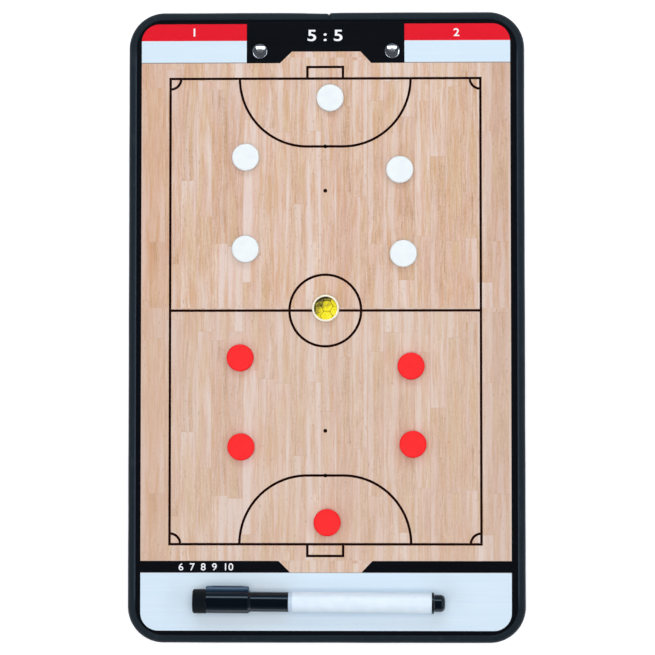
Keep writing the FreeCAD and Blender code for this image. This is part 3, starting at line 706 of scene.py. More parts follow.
# The head's slope in degrees at shares of its radius: a low crown, an even flank, a steeper
# band and a quickly rounded edge. Its height is the sum of the slopes from the rim inwards.
rivet_base = back_face[0] - clip_base_thickness
rivet_foot = rivet_base - rivet_tail_height
head_share = np.linspace(0, 1, 51)
head_slope = np.tan(np.radians(np.interp(head_share, slope_shares, slope_degrees)))
head_drop = np.concatenate([[0], np.cumsum((head_slope[1:] + head_slope[:-1]) / 2)])
head_drop *= (rivet_height - rivet_rim) / head_drop[-1]
dome = np.column_stack([rivet_head * head_share, film_face + rivet_height - head_drop])[::-1]
rivet_profile = np.concatenate([
    [(0, rivet_foot), (rivet_tail - 0.45, rivet_foot), (rivet_tail - 0.12, rivet_foot + 0.6),
     (rivet_tail, rivet_base), (rivet_shank, rivet_base), (rivet_shank, film_face),
     (rivet_head - 0.08, film_face), (rivet_head, film_face + 0.08)],
    dome,
])
rivet_shells = [shell(turned(rivet_profile) + (*place, 0), ring_columns=True)
                for place in rivet_places]
rivet_plate = Finish("bright_plated_rivet", {"Metallic": 1.0})
rivet_lines = rivet_plate.noise((0.12, 1.4, 0.4), 3.0)
rivet_cloud = rivet_plate.noise((1.6, 1.6, 1.6), 2.0)
rivet_colour = rivet_plate.mix(rivet_cloud, dye(214, 217, 220), dye(238, 240, 242))
rivet_x, rivet_y = rivet_plate.parts(rivet_plate.place)[:2]
across_head = (rivet_x / MM - rivet_middle).size() - rivet_apart
along_head = rivet_y / MM - rivet_places[0][1]
from_middle = (across_head * across_head + along_head * along_head) ** 0.5
satin_and_shaded_crown = 1 - from_middle.rise(1.3, 2.0)
# Painted shade: the crown's colour is mixed towards grey in place of the dark reflection at the top
# of the dome; the same mask makes its roughness satin.
rivet_colour = rivet_plate.mix(satin_and_shaded_crown * 0.7, rivet_colour, dye(122, 118, 112))
rivet_plate.feed("Base Color", rivet_colour)
rivet_rough = 0.05 + 0.06 * rivet_lines + 0.04 * rivet_cloud + 0.26 * satin_and_shaded_crown
rivet_plate.feed("Roughness", rivet_rough)
rivet_plate.bump(rivet_lines, 0.002)
piece("clip_rivet_pair", "board", rivet_plate, rivet_shells, ["clip_rivets"])

# Paper clip, fixed parts: a nickel-plated base plate with two ears, held by the rivets, and
# a hinge pin with a flat head outside each ear.

pin_y, pin_z = 153.7, 4.8
pin_radius, pin_head_radius, pin_head_height, pin_head_edge = 1.2, 1.9, 0.8, 0.2
pin_half = 26.95


def plated(name, brushed, bright, dull, roughness):
    """Nickel plate over rolled or drawn steel: bright metal, fine lines one way, soft clouds."""
    finish = Finish(name, {"Metallic": 1.0})
    lines = finish.noise(brushed, 3.0)
    clouds = finish.noise((9.0, 9.0, 9.0), 3.0)
    finish.feed("Base Color", finish.mix(clouds, dye(*dull), dye(*bright)))
    finish.feed("Roughness", roughness + 0.12 * lines + 0.1 * clouds)
    finish.bump(lines, 0.003)
    return finish


def onto_x(grid):
    """The same surface with its axis laid along X."""
    return np.roll(grid, 1, axis=-1)


base_nickel = plated("nickel_plated_base", (16.0, 0.18, 0.4), (214, 214, 210), (182, 182, 178),
                     0.2)
show_node("clip_base", base_nickel)
pin_steel = plated("drawn_steel_pin", (4.0, 0.12, 0.12), (196, 197, 198), (150, 152, 154), 0.16)
pin_end = pin_half + pin_head_height
pin_side = [
    (pin_radius, pin_half), (pin_head_radius, pin_half), (pin_head_radius, pin_end - pin_head_edge),
    (pin_head_radius - pin_head_edge, pin_end), (0, pin_end),
]
pin_profile = [(radius, -along) for radius, along in pin_side[::-1]] + pin_side
pin_shell = shell(onto_x(turned(pin_profile, 40)) + (0, pin_y, pin_z), ring_columns=True)
piece("clip_pin", "board", pin_steel, [pin_shell], ["clip_hinge_pin"])

# Torsion spring: hard-drawn wire wound round the pin, one leg against the base and the other
# against the lever, so that the jaw stays shut.

sheet_half = 0.45
wire_radius, wire_gap = 0.5, 0.1
coil_radius, coil_pitch, coil_turns = 2.4, 1.6, 8
base_leg_end = (5.6, rivet_base - wire_radius - wire_gap - pin_z)
lever_leg_end = (7.6, 2 * sheet_half + wire_radius + wire_gap - pin_z)


def tube(path, radius, steps=14):
    """Round wire: a circle carried along the path, set up square to it from the X direction."""
    ahead = np.gradient(path, axis=0)
    ahead /= np.linalg.norm(ahead, axis=1, keepdims=True)
    across = np.array([1.0, 0, 0]) - ahead[:, :1] * ahead
    across /= np.linalg.norm(across, axis=1, keepdims=True)
    over = np.cross(ahead, across)
    angles = np.linspace(0, 2 * math.pi, steps, endpoint=False)[:, None]
    ring = across[:, None] * np.cos(angles) + over[:, None] * np.sin(angles)
    return shell(path[:, None] + radius * ring, ring_columns=True, lids=True)


def spring_path():
    """Helix of the coil radius about the pin, with straight legs that leave it as tangents and
    end at the two given points of the YZ plane. Also the places along X where the coil ends."""
    leg_ends = np.array([base_leg_end, lever_leg_end])
    reaches = np.hypot(*leg_ends.T)
    slopes = np.arcsin(leg_ends[:, 1] / reaches)
    swings = np.arccos(coil_radius / reaches)
    first = slopes[0] + swings[0]
    last = slopes[1] - swings[1] + 2 * math.pi * coil_turns
    angles = np.linspace(first, last, 40 * coil_turns)
    rise = coil_pitch / (2 * math.pi)
    x = rise * (angles - (first + last) / 2)
    coil = np.column_stack([x, coil_radius * np.cos(angles), coil_radius * np.sin(angles)])
    legs = []
    for angle, reach, way, tip in zip((first, last), reaches, (-1, 1), coil[[0, -1]]):
        along = np.array([rise, -coil_radius * math.sin(angle), coil_radius * math.cos(angle)])
        length = math.sqrt(reach**2 - coil_radius**2) / coil_radius
        legs.append(tip + way * along * length * np.linspace(0, 1, 6)[1:, None])
    return np.concatenate([legs[0][::-1], coil, legs[1]]) + (0, pin_y, pin_z), x[[0, -1]]


spring_wire = plated("spring_wire", (0.2, 0.2, 3.0), (158, 160, 164), (112, 114, 118), 0.26)
spring_line, coil_ends = spring_path()
coil_ends = [Vector((end, pin_y, pin_z)) * MM for end in coil_ends]
piece("clip_torsion_spring", ("board", "clip_lever", *coil_ends), spring_wire,
      [tube(spring_line, wire_radius)], ["clip_spring"])

# Clip lever: one pressed sheet, nickel-plated, with a wide jaw that leans on the board, a flat
# back and a narrower thumb tab. Two ears inside the base's ears hang it on the pin.

lever_bend = 1.6
lever_corners = [(129.5, 7.821), (131.7, 8.921), (145.7, 0.45), (167.0, 0.45), (168.9, 1.35)]
lever_plan = [(0, 128.6), (58.0, 128.6), (58.0, 148.2), (31.0, 155.2), (31.0, 169.8), (0, 169.8)]
plan_radius = 3.0
lever_ear_x, ear_foot_width, ear_eye_radius, ear_hole_radius = 25.4, 6.0, 3.0, 1.25
ear_steps = 72


def bend_line(points, radius, steps=8):
    """Line with round bends: each run stops a setback short of its corner, and an arc that
    touches both runs takes its place."""
    points = np.array(points, float)
    line = [points[:1]]
    for before, corner, after in zip(points, points[1:], points[2:]):
        run_in = (corner - before) / math.dist(corner, before)
        run_out = (after - corner) / math.dist(after, corner)
        side = 1 if run_in[0] * run_out[1] > run_in[1] * run_out[0] else -1
        turn = math.acos(run_in @ run_out)
        inward = side * np.array([-run_in[1], run_in[0]])
        start = corner - run_in * radius * math.tan(turn / 2)
        angles = np.linspace(0, turn, steps + 1)[:, None]
        line.append(start + radius * (inward * (1 - np.cos(angles)) + run_in * np.sin(angles)))
    return np.concatenate([*line, points[-1:]])


def bent_sheet(line, half_width, half_thickness, middle_x=0.0, soft=0.14):
    """Sheet along a line in the YZ plane: at each point a flat section of the given half width,
    square to the line, with its four edges taken off."""
    ahead = np.gradient(line, axis=0)
    ahead /= np.linalg.norm(ahead, axis=1, keepdims=True)
    up = np.column_stack([-ahead[:, 1], ahead[:, 0]])
    width = np.broadcast_to(half_width, len(line))[:, None]
    inset = np.array([soft, soft, 0, 0, soft, soft, 0, 0])
    across = (width - inset) * np.array([-1, 1, 1, 1, 1, -1, -1, -1])
    lift = half_thickness * np.array([-1, -1, -1, 1, 1, 1, 1, -1])
    lift = lift + soft * np.array([0, 0, 1, -1, 0, 0, -1, 1])
    grid = np.empty((len(line), 8, 3))
    grid[..., 0] = middle_x + across
    grid[..., 1:] = line[:, None] + up[:, None] * lift[:, None]
    return shell(grid, ring_columns=True, lids=True)


def ear(middle_x, foot_z, foot_width, half_thickness):
    """Ear about the pin: a round eye with a blade that widens to its foot. Its outline is the
    further of the eye's circle and the blade's edges, seen from the pin at each angle."""
    angles = np.linspace(0, 2 * math.pi, ear_steps, endpoint=False)
    height = foot_z - pin_z
    sideways, footward = np.cos(angles), np.sin(angles) * np.sign(height)
    spread = (foot_width / 2 - ear_eye_radius) / abs(height)
    flank = np.abs(sideways) - spread * footward
    with np.errstate(divide="ignore"):
        to_flank = np.where(flank > 0, ear_eye_radius / flank, np.inf)
        to_foot = np.where(footward > 0, abs(height) / footward, 0)
    outline = np.maximum(ear_eye_radius, np.minimum(to_flank, to_foot))
    hole = np.full(ear_steps, ear_hole_radius)
    directions = np.column_stack([np.zeros(ear_steps), np.cos(angles), np.sin(angles)])
    grid = np.empty((ear_steps, 4, 3))
    for column, (radius, side) in enumerate([(outline, -1), (outline, 1), (hole, 1), (hole, -1)]):
        middle = (middle_x + side * half_thickness, pin_y, pin_z)
        grid[:, column] = directions * radius[:, None] + middle
    return shell(grid, ring_rows=True, ring_columns=True)


def even_steps(line, step):
    """The same line with a point at every step, measured along it."""
    walked = np.concatenate([[0], np.cumsum(np.linalg.norm(np.diff(line, axis=0), axis=1))])
    stations = np.linspace(0, walked[-1], int(walked[-1] / step) + 1)
    return np.column_stack([np.interp(stations, walked, line[:, axis]) for axis in (0, 1)])


lever_line = even_steps(bend_line(lever_corners, lever_bend), 0.2)
plan_line = bend_line(lever_plan, plan_radius)[1:-1]
lever_width = np.interp(lever_line[:, 0], plan_line[:, 1], plan_line[:, 0])
lever_nickel = plated("nickel_plated_lever", (22.0, 0.16, 0.4), (222, 222, 218), (190, 190, 186),
                      0.14)
lever_shells = [bent_sheet(lever_line, lever_width, sheet_half)]
lever_shells += [ear(side * lever_ear_x, sheet_half, ear_foot_width, sheet_half)
                 for side in (-1, 1)]
piece("clip_lever_plate", "clip_lever", lever_nickel, lever_shells, ["clip_lever"])

# Grips: a black rubber sleeve on each corner of the jaw, so that paper doesn't slip.

grip_half_thickness, grip_half_width, grip_edge = 1.25, 6.5, 0.45
grip_middle, grip_overhang, grip_rise = 48.5, 0.8, 5.6
grip_run = np.array([lever_corners[0], lever_corners[1]])
lip_way = (grip_run[1] - grip_run[0]) / math.dist(*grip_run)
rise_way = (np.array(lever_corners[2]) - grip_run[1]) / math.dist(lever_corners[2], grip_run[1])
grip_corners = [grip_run[0] - lip_way * grip_overhang, grip_run[1],
                grip_run[1] + rise_way * grip_rise]
grip_line = even_steps(bend_line(grip_corners, lever_bend), 0.4)
grip_rubber = Finish("grip_rubber", {"Specular IOR Level": 0.4})
grip_skin = grip_rubber.noise((0.3, 0.3, 0.3), 3.0)
grip_haze = grip_rubber.noise((4.0, 4.0, 4.0), 2.0)
grip_rubber.feed("Base Color", grip_rubber.mix(grip_haze, dye(20, 21, 23), dye(34, 35, 37)))
grip_rubber.feed("Roughness", 0.6 + 0.2 * grip_skin)
grip_rubber.bump(grip_skin, 0.03)
grip_shells = [
    bent_sheet(grip_line, grip_half_width, grip_half_thickness, side * grip_middle, grip_edge)
    for side in (-1, 1)
]
piece("clip_jaw_grips", "clip_lever", grip_rubber, grip_shells, ["clip_grips"])

# Counters: a moulded plastic cap, white or red, with a magnet disc pressed in from below.
# The top is flat and polished by the mould, with a rounded edge, and the foot is drawn in.

counter_radius, counter_height, counter_edge = 7.5, 4.5, 0.75
foot_draws = [(0.5, 0), (0.12, 0.35), (0, 0.9)]
cap_bore, cap_roof = 6.4, 3.3
counter_gap = 0.05
white_places = [(2.1, 126.6), (-44.8, 93.6), (40.7, 86.6), (-44.9, 42.6), (42.6, 40.0)]
red_places = [(-47.7, -17.7), (46.8, -22.3), (-47.2, -66.9), (47.8, -65.5), (0.4, -108.6)]
counter_base = film_face + counter_gap


def moulded(name, colour, deeper, roughness, shine=0.5):
    """Moulded plastic: even colour with a faint cloud, a mould polish with hairline marks."""
    finish = Finish(name, {"IOR": 1.49, "Specular IOR Level": shine})
    cloud = finish.noise((5.0, 5.0, 5.0), 2.0)
    hairlines = finish.noise((5.0, 0.14, 1.0), 3.0)
    pebble = finish.noise((0.3, 0.3, 0.3), 2.0)
    finish.feed("Base Color", finish.mix(cloud.rise(0.3, 0.7), dye(*colour), dye(*deeper)))
    finish.feed("Roughness", roughness + 0.12 * hairlines + 0.06 * cloud)
    finish.bump(pebble + 0.5 * hairlines, 0.003)
    return finish


def counter_profile(recess_radius=0.0, recess=0.0):
    """Cap from the middle of its roof inside, out round its foot and rounded edge, to the
    middle of its top, which may have a shallow round recess."""
    rounding = arc_path((counter_radius - counter_edge, counter_height - counter_edge),
                        counter_edge, 0, 90, 10)
    inside = [(0, cap_roof), (cap_bore, cap_roof), (cap_bore, 0.15), (cap_bore + 0.15, 0)]
    foot = [(counter_radius - draw, height) for draw, height in foot_draws]
    top = [(0, counter_height)]
    if recess:
        floor = counter_height - recess
        top = [(recess_radius + 0.06, counter_height), (recess_radius, counter_height - 0.06),
               (recess_radius, floor), (0, floor)]
    return np.concatenate([inside, foot, rounding, top])


magnet_ferrite = Finish("pressed_ferrite", {"Specular IOR Level": 0.4})
ferrite_grain = magnet_ferrite.noise((0.35, 0.35, 0.35), 3.0)
ferrite_grey = magnet_ferrite.mix(ferrite_grain, dye(38, 38, 40), dye(66, 66, 69))
magnet_ferrite.feed("Base Color", ferrite_grey)
magnet_ferrite.feed("Roughness", 0.5 + 0.3 * ferrite_grain)
magnet_ferrite.bump(ferrite_grain, 0.02)

white_plastic = moulded("white_counter_plastic", (240, 247, 247), (234, 243, 245), 0.22)
red_plastic = moulded("red_counter_plastic", (255, 8, 20), (253, 5, 18), 0.22, 0.36)
teams = [("white", white_places, white_plastic), ("red", red_places, red_plastic)]
for team, places, plastic in teams:
    for number, (x, y) in enumerate(places, 1):
        counter = f"{team}_counter_{number}"
        grid = turned(counter_profile(), 96) + (x, y, counter_base)
        piece(counter + "_body", counter, plastic,
              [shell(grid, ring_columns=True)], [counter + "_cap"])
        show_node(counter + "_magnet", magnet_ferrite)

# Ball counter: the same cap in cream with a shallow recess, which holds a round printed disc
# with a plain panelled ball in yellow, darker towards its upper left, and olive seams.

ball_place = np.array([-0.4, 9.7])
disc_radius, disc_recess, disc_rim, disc_thickness = 6.4, 0.3, 6.45, 0.15
disc_face = counter_base + counter_height - disc_recess + disc_thickness
picture_radius, picture_edge = 8.4, 0.3
ball_tilt = (0.62, -0.5, 0.2)
light_x, light_y = 0.62, -0.78

cream_plastic = moulded("ball_counter_plastic", (255, 250, 226), (252, 246, 222), 0.22)
ball_cap_grid = turned(counter_profile(disc_rim, disc_recess), 96) + (*ball_place, counter_base)
piece("ball_counter_body", "ball_counter", cream_plastic,
      [shell(ball_cap_grid, ring_columns=True)], ["ball_counter_cap"])
show_node("ball_counter_magnet", magnet_ferrite)


def ball_corners():
    """Corners of a ball of twelve five-sided and twenty six-sided panels, on a unit sphere:
    cyclic orders and all signs of three sets of multiples of the golden ratio."""
    golden = (1 + math.sqrt(5)) / 2
    sets = [(0, 1, 3 * golden), (1, 2 + golden, 2 * golden), (golden, 2, 2 * golden + 1)]
    signs = np.array(np.meshgrid([1, -1], [1, -1], [1, -1])).reshape(3, -1).T
    turns = np.concatenate([np.roll(sets, shift, axis=1) for shift in range(3)])
    corners = np.unique((turns[:, None] * signs).reshape(-1, 3).round(9) + 0.0, axis=0)
    return corners / np.linalg.norm(corners[0])


def tilted(points):
    """The ball's points turned about X, Y and Z in that order."""
    for axis, angle in enumerate(ball_tilt):
        first, second = (axis + 1) % 3, (axis + 2) % 3
        turn = np.eye(3)
        turn[first, first] = turn[second, second] = math.cos(angle)
        turn[first, second] = math.sin(angle)
        turn[second, first] = -math.sin(angle)
        points = points @ turn
    return points


corners = ball_corners()
apart = np.linalg.norm(corners[:, None] - corners, axis=-1)
seam_length = np.min(apart[apart > 1e-6])
joined = (apart > 1e-6) & (apart < seam_length * 1.01)
corners = tilted(corners)
disc_top = (disc_face, 1.0)
seam_shells = []
along_seam = np.linspace(0, 1, 25)[:, None]
seam_width = 0.36 + 0.6 * np.abs(2 * along_seam - 1) ** 4
seam_width *= np.minimum(1, np.minimum(along_seam, 1 - along_seam) / 0.07)
for first, second in zip(*np.nonzero(np.triu(joined))):
    run = corners[first] + along_seam * (corners[second] - corners[first])
    run /= np.linalg.norm(run, axis=1, keepdims=True)
    flat = picture_radius * run[:, :2]
    shown = (run[:, 2] > 0.12) & (np.hypot(*flat.T) < disc_radius - picture_edge)
    if shown.sum() > 2:
        widths = np.maximum(seam_width[shown], 0.02)
        seam_shells.append(stroke(ball_place + flat[shown], widths, disc_top))

disc_profile = [
    (0, disc_face - disc_thickness), (disc_radius, disc_face - disc_thickness),
    (disc_radius, disc_face - 0.02), (disc_radius - 0.02, disc_face), (0, disc_face),
]
ball_yellow = Finish("ball_picture_print", {"IOR": 1.46, "Specular IOR Level": 0.35})
x, y = ball_yellow.parts(ball_yellow.place)[:2]
x = x / MM - float(ball_place[0])
y = y / MM - float(ball_place[1])
ball_light = (x * light_x + y * light_y) / disc_radius
ball_blotch = ball_yellow.noise((2.4, 2.0, 5.0), 2.0)
ball_grain = ball_yellow.noise((0.5, 0.5, 0.5), 2.0)
ball_tone = 0.52 + 0.5 * ball_light + 1.1 * (ball_blotch - 0.5) + 0.25 * (ball_grain - 0.5)
ball_edge = ((x * x + y * y) ** 0.5 / disc_radius).rise(0.8, 1.0)
yellow_stops = [
    (0.0, dye(58, 52, 26)),
    (0.22, dye(142, 130, 44)),
    (0.4, dye(214, 196, 30)),
    (0.6, dye(243, 229, 16)),
    (1.0, dye(250, 240, 60)),
]
ball_tone = ball_tone - 0.22 * ball_edge
yellow_shade = ball_yellow.add("ValToRGB", {"stops": yellow_stops}, {0: ball_tone})
ball_yellow.feed("Base Color", yellow_shade)
ball_yellow.feed("Roughness", 0.24 + 0.12 * ball_grain)
ball_yellow.bump(ball_grain, 0.003)
piece("ball_picture_disc", "ball_counter", ball_yellow,
      [shell(turned(disc_profile, 96) + (*ball_place, 0), ring_columns=True)], ["ball_sticker"])
seam_ink = Finish("ball_seam_ink", {"IOR": 1.46, "Specular IOR Level": 0.35})
x, y = seam_ink.parts(seam_ink.place)[:2]
x = x / MM - float(ball_place[0])
y = y / MM - float(ball_place[1])
seam_light = (x * light_x + y * light_y) / disc_radius
seam_light = seam_light + 0.7 * (seam_ink.noise((2.0, 2.0, 5.0), 1.0) - 0.5)
seam_shade = seam_ink.mix(seam_light.rise(-0.5, 0.35), dye(58, 50, 20), dye(186, 166, 26))
seam_ink.feed("Base Color", seam_shade)
seam_ink.feed("Roughness", 0.2 + 0.1 * seam_ink.noise((0.5, 0.5, 0.5), 2.0))
piece("ball_picture_seams", "ball_counter", seam_ink, seam_shells)

# Marker, eraser: a pad of pressed black felt, glued over a spigot on the closed end of the cap.
# Its outer edge is rounded off and slightly fuzzy.

marker_turn = math.radians(-0.45)
marker_start = np.array([-73.4, -151.58, 20.95])
eraser_length, eraser_radius, eraser_edge = 7.3, 6.7, 1.1
eraser_hole, eraser_floor = 3.55, 3.25


def on_marker(grid):
    """From the marker's own axis, X from the eraser's end, to its place on the board."""
    turn = np.eye(3)
    turn[0, :2] = math.cos(marker_turn), math.sin(marker_turn)
    turn[1, :2] = -math.sin(marker_turn), math.cos(marker_turn)
    return grid @ turn + marker_start


def marker_piece(name, body, finish, profile, nodes, steps=96):
    """Turned part of the marker: its profile gives places along the axis and radii."""
    profile = np.array(profile, float)[:, ::-1]
    grid = on_marker(onto_x(turned(profile, steps)))
    return piece(name, body, finish, [shell(grid, ring_columns=True)], nodes)


felt_edge = arc_path((eraser_edge, eraser_radius - eraser_edge), eraser_edge, 180, 90, 10)
felt_side = np.column_stack([np.linspace(eraser_edge, eraser_length, 16)[1:],
                             np.full(15, eraser_radius)])
felt_end = np.column_stack([np.zeros(8), np.linspace(0, eraser_radius - eraser_edge, 8)])
felt_profile = np.concatenate([
    felt_end[:-1], felt_edge, felt_side,
    [(eraser_length, eraser_hole), (eraser_floor, eraser_hole), (eraser_floor, 0)],
])
felt_grid = onto_x(turned(felt_profile[:, ::-1], 144))
felt_turn = np.arctan2(felt_grid[..., 2], felt_grid[..., 1])
felt_wave = np.sin(9 * felt_turn + 2.1 * felt_grid[..., 0])
felt_wave *= np.sin(23 * felt_turn - 3.3 * felt_grid[..., 0])
felt_outside = np.arange(len(felt_profile)) < len(felt_profile) - 3
felt_shrink = 1 - 0.009 * (1 + felt_wave) * felt_outside[:, None]
felt_grid[..., 1:] *= felt_shrink[..., None]
pressed_felt = Finish("pressed_felt", {"Specular IOR Level": 0.1, "Sheen Weight": 0.12,
                                       "Sheen Roughness": 0.5})
felt_hairs = pressed_felt.noise((0.16, 0.5, 0.5), 4.0)
felt_tufts = pressed_felt.noise((1.1, 1.1, 1.1), 3.0)
felt_shade = 0.5 * felt_hairs + 0.5 * felt_tufts
pressed_felt.feed("Base Color", pressed_felt.mix(felt_shade, dye(1, 5, 9), dye(14, 24, 31)))
pressed_felt.feed("Roughness", 0.85 + 0.15 * felt_hairs)
pressed_felt.bump(felt_hairs + felt_tufts, 0.12)
piece("marker_felt_pad", "marker_cap", pressed_felt,
      [shell(on_marker(felt_grid), ring_columns=True)], ["marker_eraser"])

# Marker, cap: moulded in glossy black, wide at its closed end and stepped down to its mouth.
# A flat housing on one side holds a bar magnet, which grips the board's face.

cap_start, cap_spigot, spigot_radius = 7.3, 3.3, 3.5
cap_wide_end, cap_wide_radius = 30.5, 6.5
cap_step_end, cap_mouth, cap_radius = 32.0, 52.5, 5.5
cap_soft = 0.3
bore_floor, bore_seal, seal_end, seat_end, bore_radius = 12.3, 3.4, 33.0, 40.0, 4.8
housing_end, housing_reach, housing_half, housing_soft = 31.0, 8.42, 4.0, 0.6
housing_shoulder, housing_draft, housing_curve = 5.1, 0.28, 0.024
cap_middle_y = float(marker_start[1]) - 0.15
slate_gloss = (0.7, 0.87, 1.0, 1.0)


def cap_section(x, angles):
    """Distance from the axis to the cap's outside at places along it and angles round it: the
    larger of the turned cap's radius and the reach of the housing, a box with rounded edges
    that narrows outwards, found along each direction by halving an interval thirty times."""
    wide = np.interp(
        x,
        [cap_start, cap_start + 0.09, cap_start + cap_soft, cap_wide_end, cap_step_end, cap_mouth],
        [cap_wide_radius - cap_soft, cap_wide_radius - 0.09, cap_wide_radius, cap_wide_radius,
         cap_radius, cap_radius],
    )[:, None]
    middle = np.array([(cap_start + housing_end) / 2, housing_reach / 2, 0])
    half = np.array([(housing_end - cap_start) / 2, housing_reach / 2, housing_half])
    low = np.zeros((len(x), len(angles)))
    high = low + 12.0
    for _ in range(30):
        radius = (low + high) / 2
        spot = np.stack(np.broadcast_arrays(
            x[:, None], radius * np.cos(angles), radius * np.sin(angles)), axis=-1)
        outside = np.abs(spot - middle) - half + housing_soft
        beyond = np.maximum(spot[..., 1] - housing_shoulder, 0)
        outside[..., 2] += housing_draft * beyond + housing_curve * beyond**2
        gap = np.linalg.norm(np.maximum(outside, 0), axis=-1) - housing_soft
        gap += np.minimum(outside.max(axis=-1), 0)
        low = np.where(gap < 0, radius, low)
        high = np.where(gap < 0, high, radius)
    return np.maximum(wide, low)


round_steps = np.linspace(0, math.pi / 2, 7)
cap_x = np.concatenate([
    cap_start + housing_soft * (1 - np.cos(round_steps)),
    np.linspace(cap_start + 1.2, housing_end - 1.2, 24),
    [cap_wide_end],
    housing_end - housing_soft * (1 - np.sin(round_steps)),
    [housing_end + 0.002, cap_step_end],
    np.linspace(cap_step_end, cap_mouth - 0.12, 12)[1:],
])
cap_x = np.unique(cap_x.round(4))
housing_spread = np.radians(np.arange(18.0, 44.0, 1.0))
cap_angles = np.unique(np.concatenate([
    np.linspace(-math.pi, math.pi, 96, endpoint=False), housing_spread, -housing_spread]))
cap_reach = cap_section(cap_x, cap_angles)
before = [(cap_spigot, 0), (cap_spigot, spigot_radius), (cap_start, spigot_radius)]
after = [(cap_mouth, cap_radius - 0.12), (cap_mouth, bore_radius), (seat_end, bore_radius),
         (seal_end, bore_seal), (bore_floor, bore_seal), (bore_floor, 0)]
all_x = np.concatenate([np.array(before)[:, 0], cap_x, np.array(after)[:, 0]])
all_reach = np.concatenate([
    np.repeat(np.array(before)[:, 1:], len(cap_angles), axis=1), cap_reach,
    np.repeat(np.array(after)[:, 1:], len(cap_angles), axis=1)])
cap_grid = np.empty((*all_reach.shape, 3))
cap_grid[..., 0] = all_x[:, None]
cap_grid[..., 1] = all_reach * np.cos(cap_angles)
cap_grid[..., 2] = all_reach * np.sin(cap_angles)


def glossy_black(name, draw):
    """Glossy black plastic: nearly black, a faint cloud, and fine lines along the draw. Away from
    the axis, towards the housing's outer end, the colour is painted slate: a painted reflection of
    pale light on the housing and the cap's upper flank."""
    finish = Finish(name, {"IOR": 1.5, "Specular IOR Level": 0.5, "Specular Tint": slate_gloss})
    cloud = finish.noise((6.0, 6.0, 6.0), 2.0)
    lines = finish.noise(draw, 3.0)
    off_axis = finish.parts(finish.place)[1] / MM - cap_middle_y
    black = finish.mix(cloud, dye(2, 6, 13), dye(4, 10, 19))
    # Painted reflection: slate mixed into the colour with the distance from the axis, towards the
    # housing side.
    finish.feed("Base Color", finish.mix(off_axis.rise(4.4, 8.2), black, dye(42, 66, 92)))
    finish.feed("Roughness", 0.05 + 0.06 * lines + 0.04 * cloud)
    finish.bump(lines, 0.003)
    return finish


cap_black = glossy_black("marker_cap_black", (14.0, 0.3, 0.3))
piece("marker_cap_shell", "marker_cap", cap_black,
      [shell(on_marker(cap_grid), ring_columns=True)], ["marker_cap"], 32.0)
show_node("marker_cap_magnet", magnet_ferrite)

# Marker, front: a pale moulded nose that carries the nib. Its ring shows as a narrow neck
# between cap and barrel. The nib is felt with a bullet tip, fed by a soaked fibre core.

nib_start, nib_end, nib_radius, nib_bullet = 27.5, 71.9, 2.3, 2.6
nose_start, nose_tip_radius, cone_end, nose_radius = 34.0, 3.1, 42.0, 4.72
ring_start, ring_end, ring_radius = 52.55, 54.6, 5.25
nose_end, nose_spigot_radius, nose_bore, nose_web_end, nib_hole = 63.6, 4.87, 3.87, 44.0, 2.34

nose_white = moulded("marker_nose_plastic", (200, 218, 234), (190, 210, 230), 0.28)
marker_piece("marker_nose_part", "marker", nose_white, [
    (nose_start, nib_hole), (nose_start, nose_tip_radius - 0.25),
    (nose_start + 0.08, nose_tip_radius - 0.07), (nose_start + 0.25, nose_tip_radius),
    (cone_end, nose_radius), (ring_start, nose_radius),
    (ring_start, ring_radius - 0.12), (ring_start + 0.12, ring_radius), (ring_end, ring_radius),
    (ring_end, nose_spigot_radius), (nose_end - 0.3, nose_spigot_radius),
    (nose_end, nose_spigot_radius - 0.2), (nose_end, nose_bore), (nose_web_end, nose_bore),
    (nose_web_end, nib_hole), (nose_start, nib_hole),
], ["marker_nose"])

nib_felt = Finish("marker_nib_felt", {"Specular IOR Level": 0.15})
nib_fibres = nib_felt.noise((3.0, 0.12, 0.12), 3.0)
nib_felt.feed("Base Color", nib_felt.mix(nib_fibres, dye(10, 10, 13), dye(44, 44, 50)))
nib_felt.feed("Roughness", 0.75 + 0.2 * nib_fibres)
nib_felt.bump(nib_fibres, 0.05)
bullet_angles = np.linspace(0, math.pi / 2, 12)
bullet = np.column_stack([nib_start + nib_bullet * (1 - np.cos(bullet_angles)),
                          nib_radius * np.sin(bullet_angles)])
marker_piece("marker_nib_tip", "marker", nib_felt,
             [*bullet, (nib_end, nib_radius), (nib_end, 0)], ["marker_nib"], 48)
show_node("marker_reservoir", nib_felt)

# Marker, barrel: an extruded tube in white plastic, slightly rounded at both cut ends, and an
# end plug moulded in the cap's black, pressed into it up to its flange.

barrel_start, barrel_end, barrel_radius, barrel_bore = 54.6, 131.3, 5.8, 4.9
plug_start, plug_spigot = 125.3, 4.87
flange_end, flange_radius, plug_end, plug_radius, plug_soft = 132.55, 5.9, 138.65, 4.75, 2.6

barrel_white = moulded("marker_barrel_plastic", (231, 245, 255), (226, 241, 253), 0.16)
marker_piece("marker_barrel_tube", "marker", barrel_white, [
    (barrel_start, barrel_bore), (barrel_start, barrel_radius - 0.25),
    (barrel_start + 0.08, barrel_radius - 0.07), (barrel_start + 0.25, barrel_radius),
    (barrel_end - 0.15, barrel_radius), (barrel_end, barrel_radius - 0.15),
    (barrel_end, barrel_bore), (barrel_start, barrel_bore),
], ["marker_barrel"])
plug_black = glossy_black("marker_plug_black", (0.3, 6.0, 6.0))
plug_dome = arc_path((plug_end - plug_soft, plug_radius - plug_soft), plug_soft, 90, 0, 14)
marker_piece("marker_plug_part", "marker", plug_black, [
    (plug_start, 0), (plug_start, plug_spigot - 0.3), (plug_start + 0.3, plug_spigot),
    (barrel_end, plug_spigot), (barrel_end, flange_radius - 0.12),
    (barrel_end + 0.12, flange_radius), (flange_end - 0.2, flange_radius),
    (flange_end, flange_radius - 0.2), (flange_end, plug_radius + 0.25),
    (flange_end + 0.25, plug_radius), *plug_dome, (plug_end, 0),
], ["marker_end_plug"])

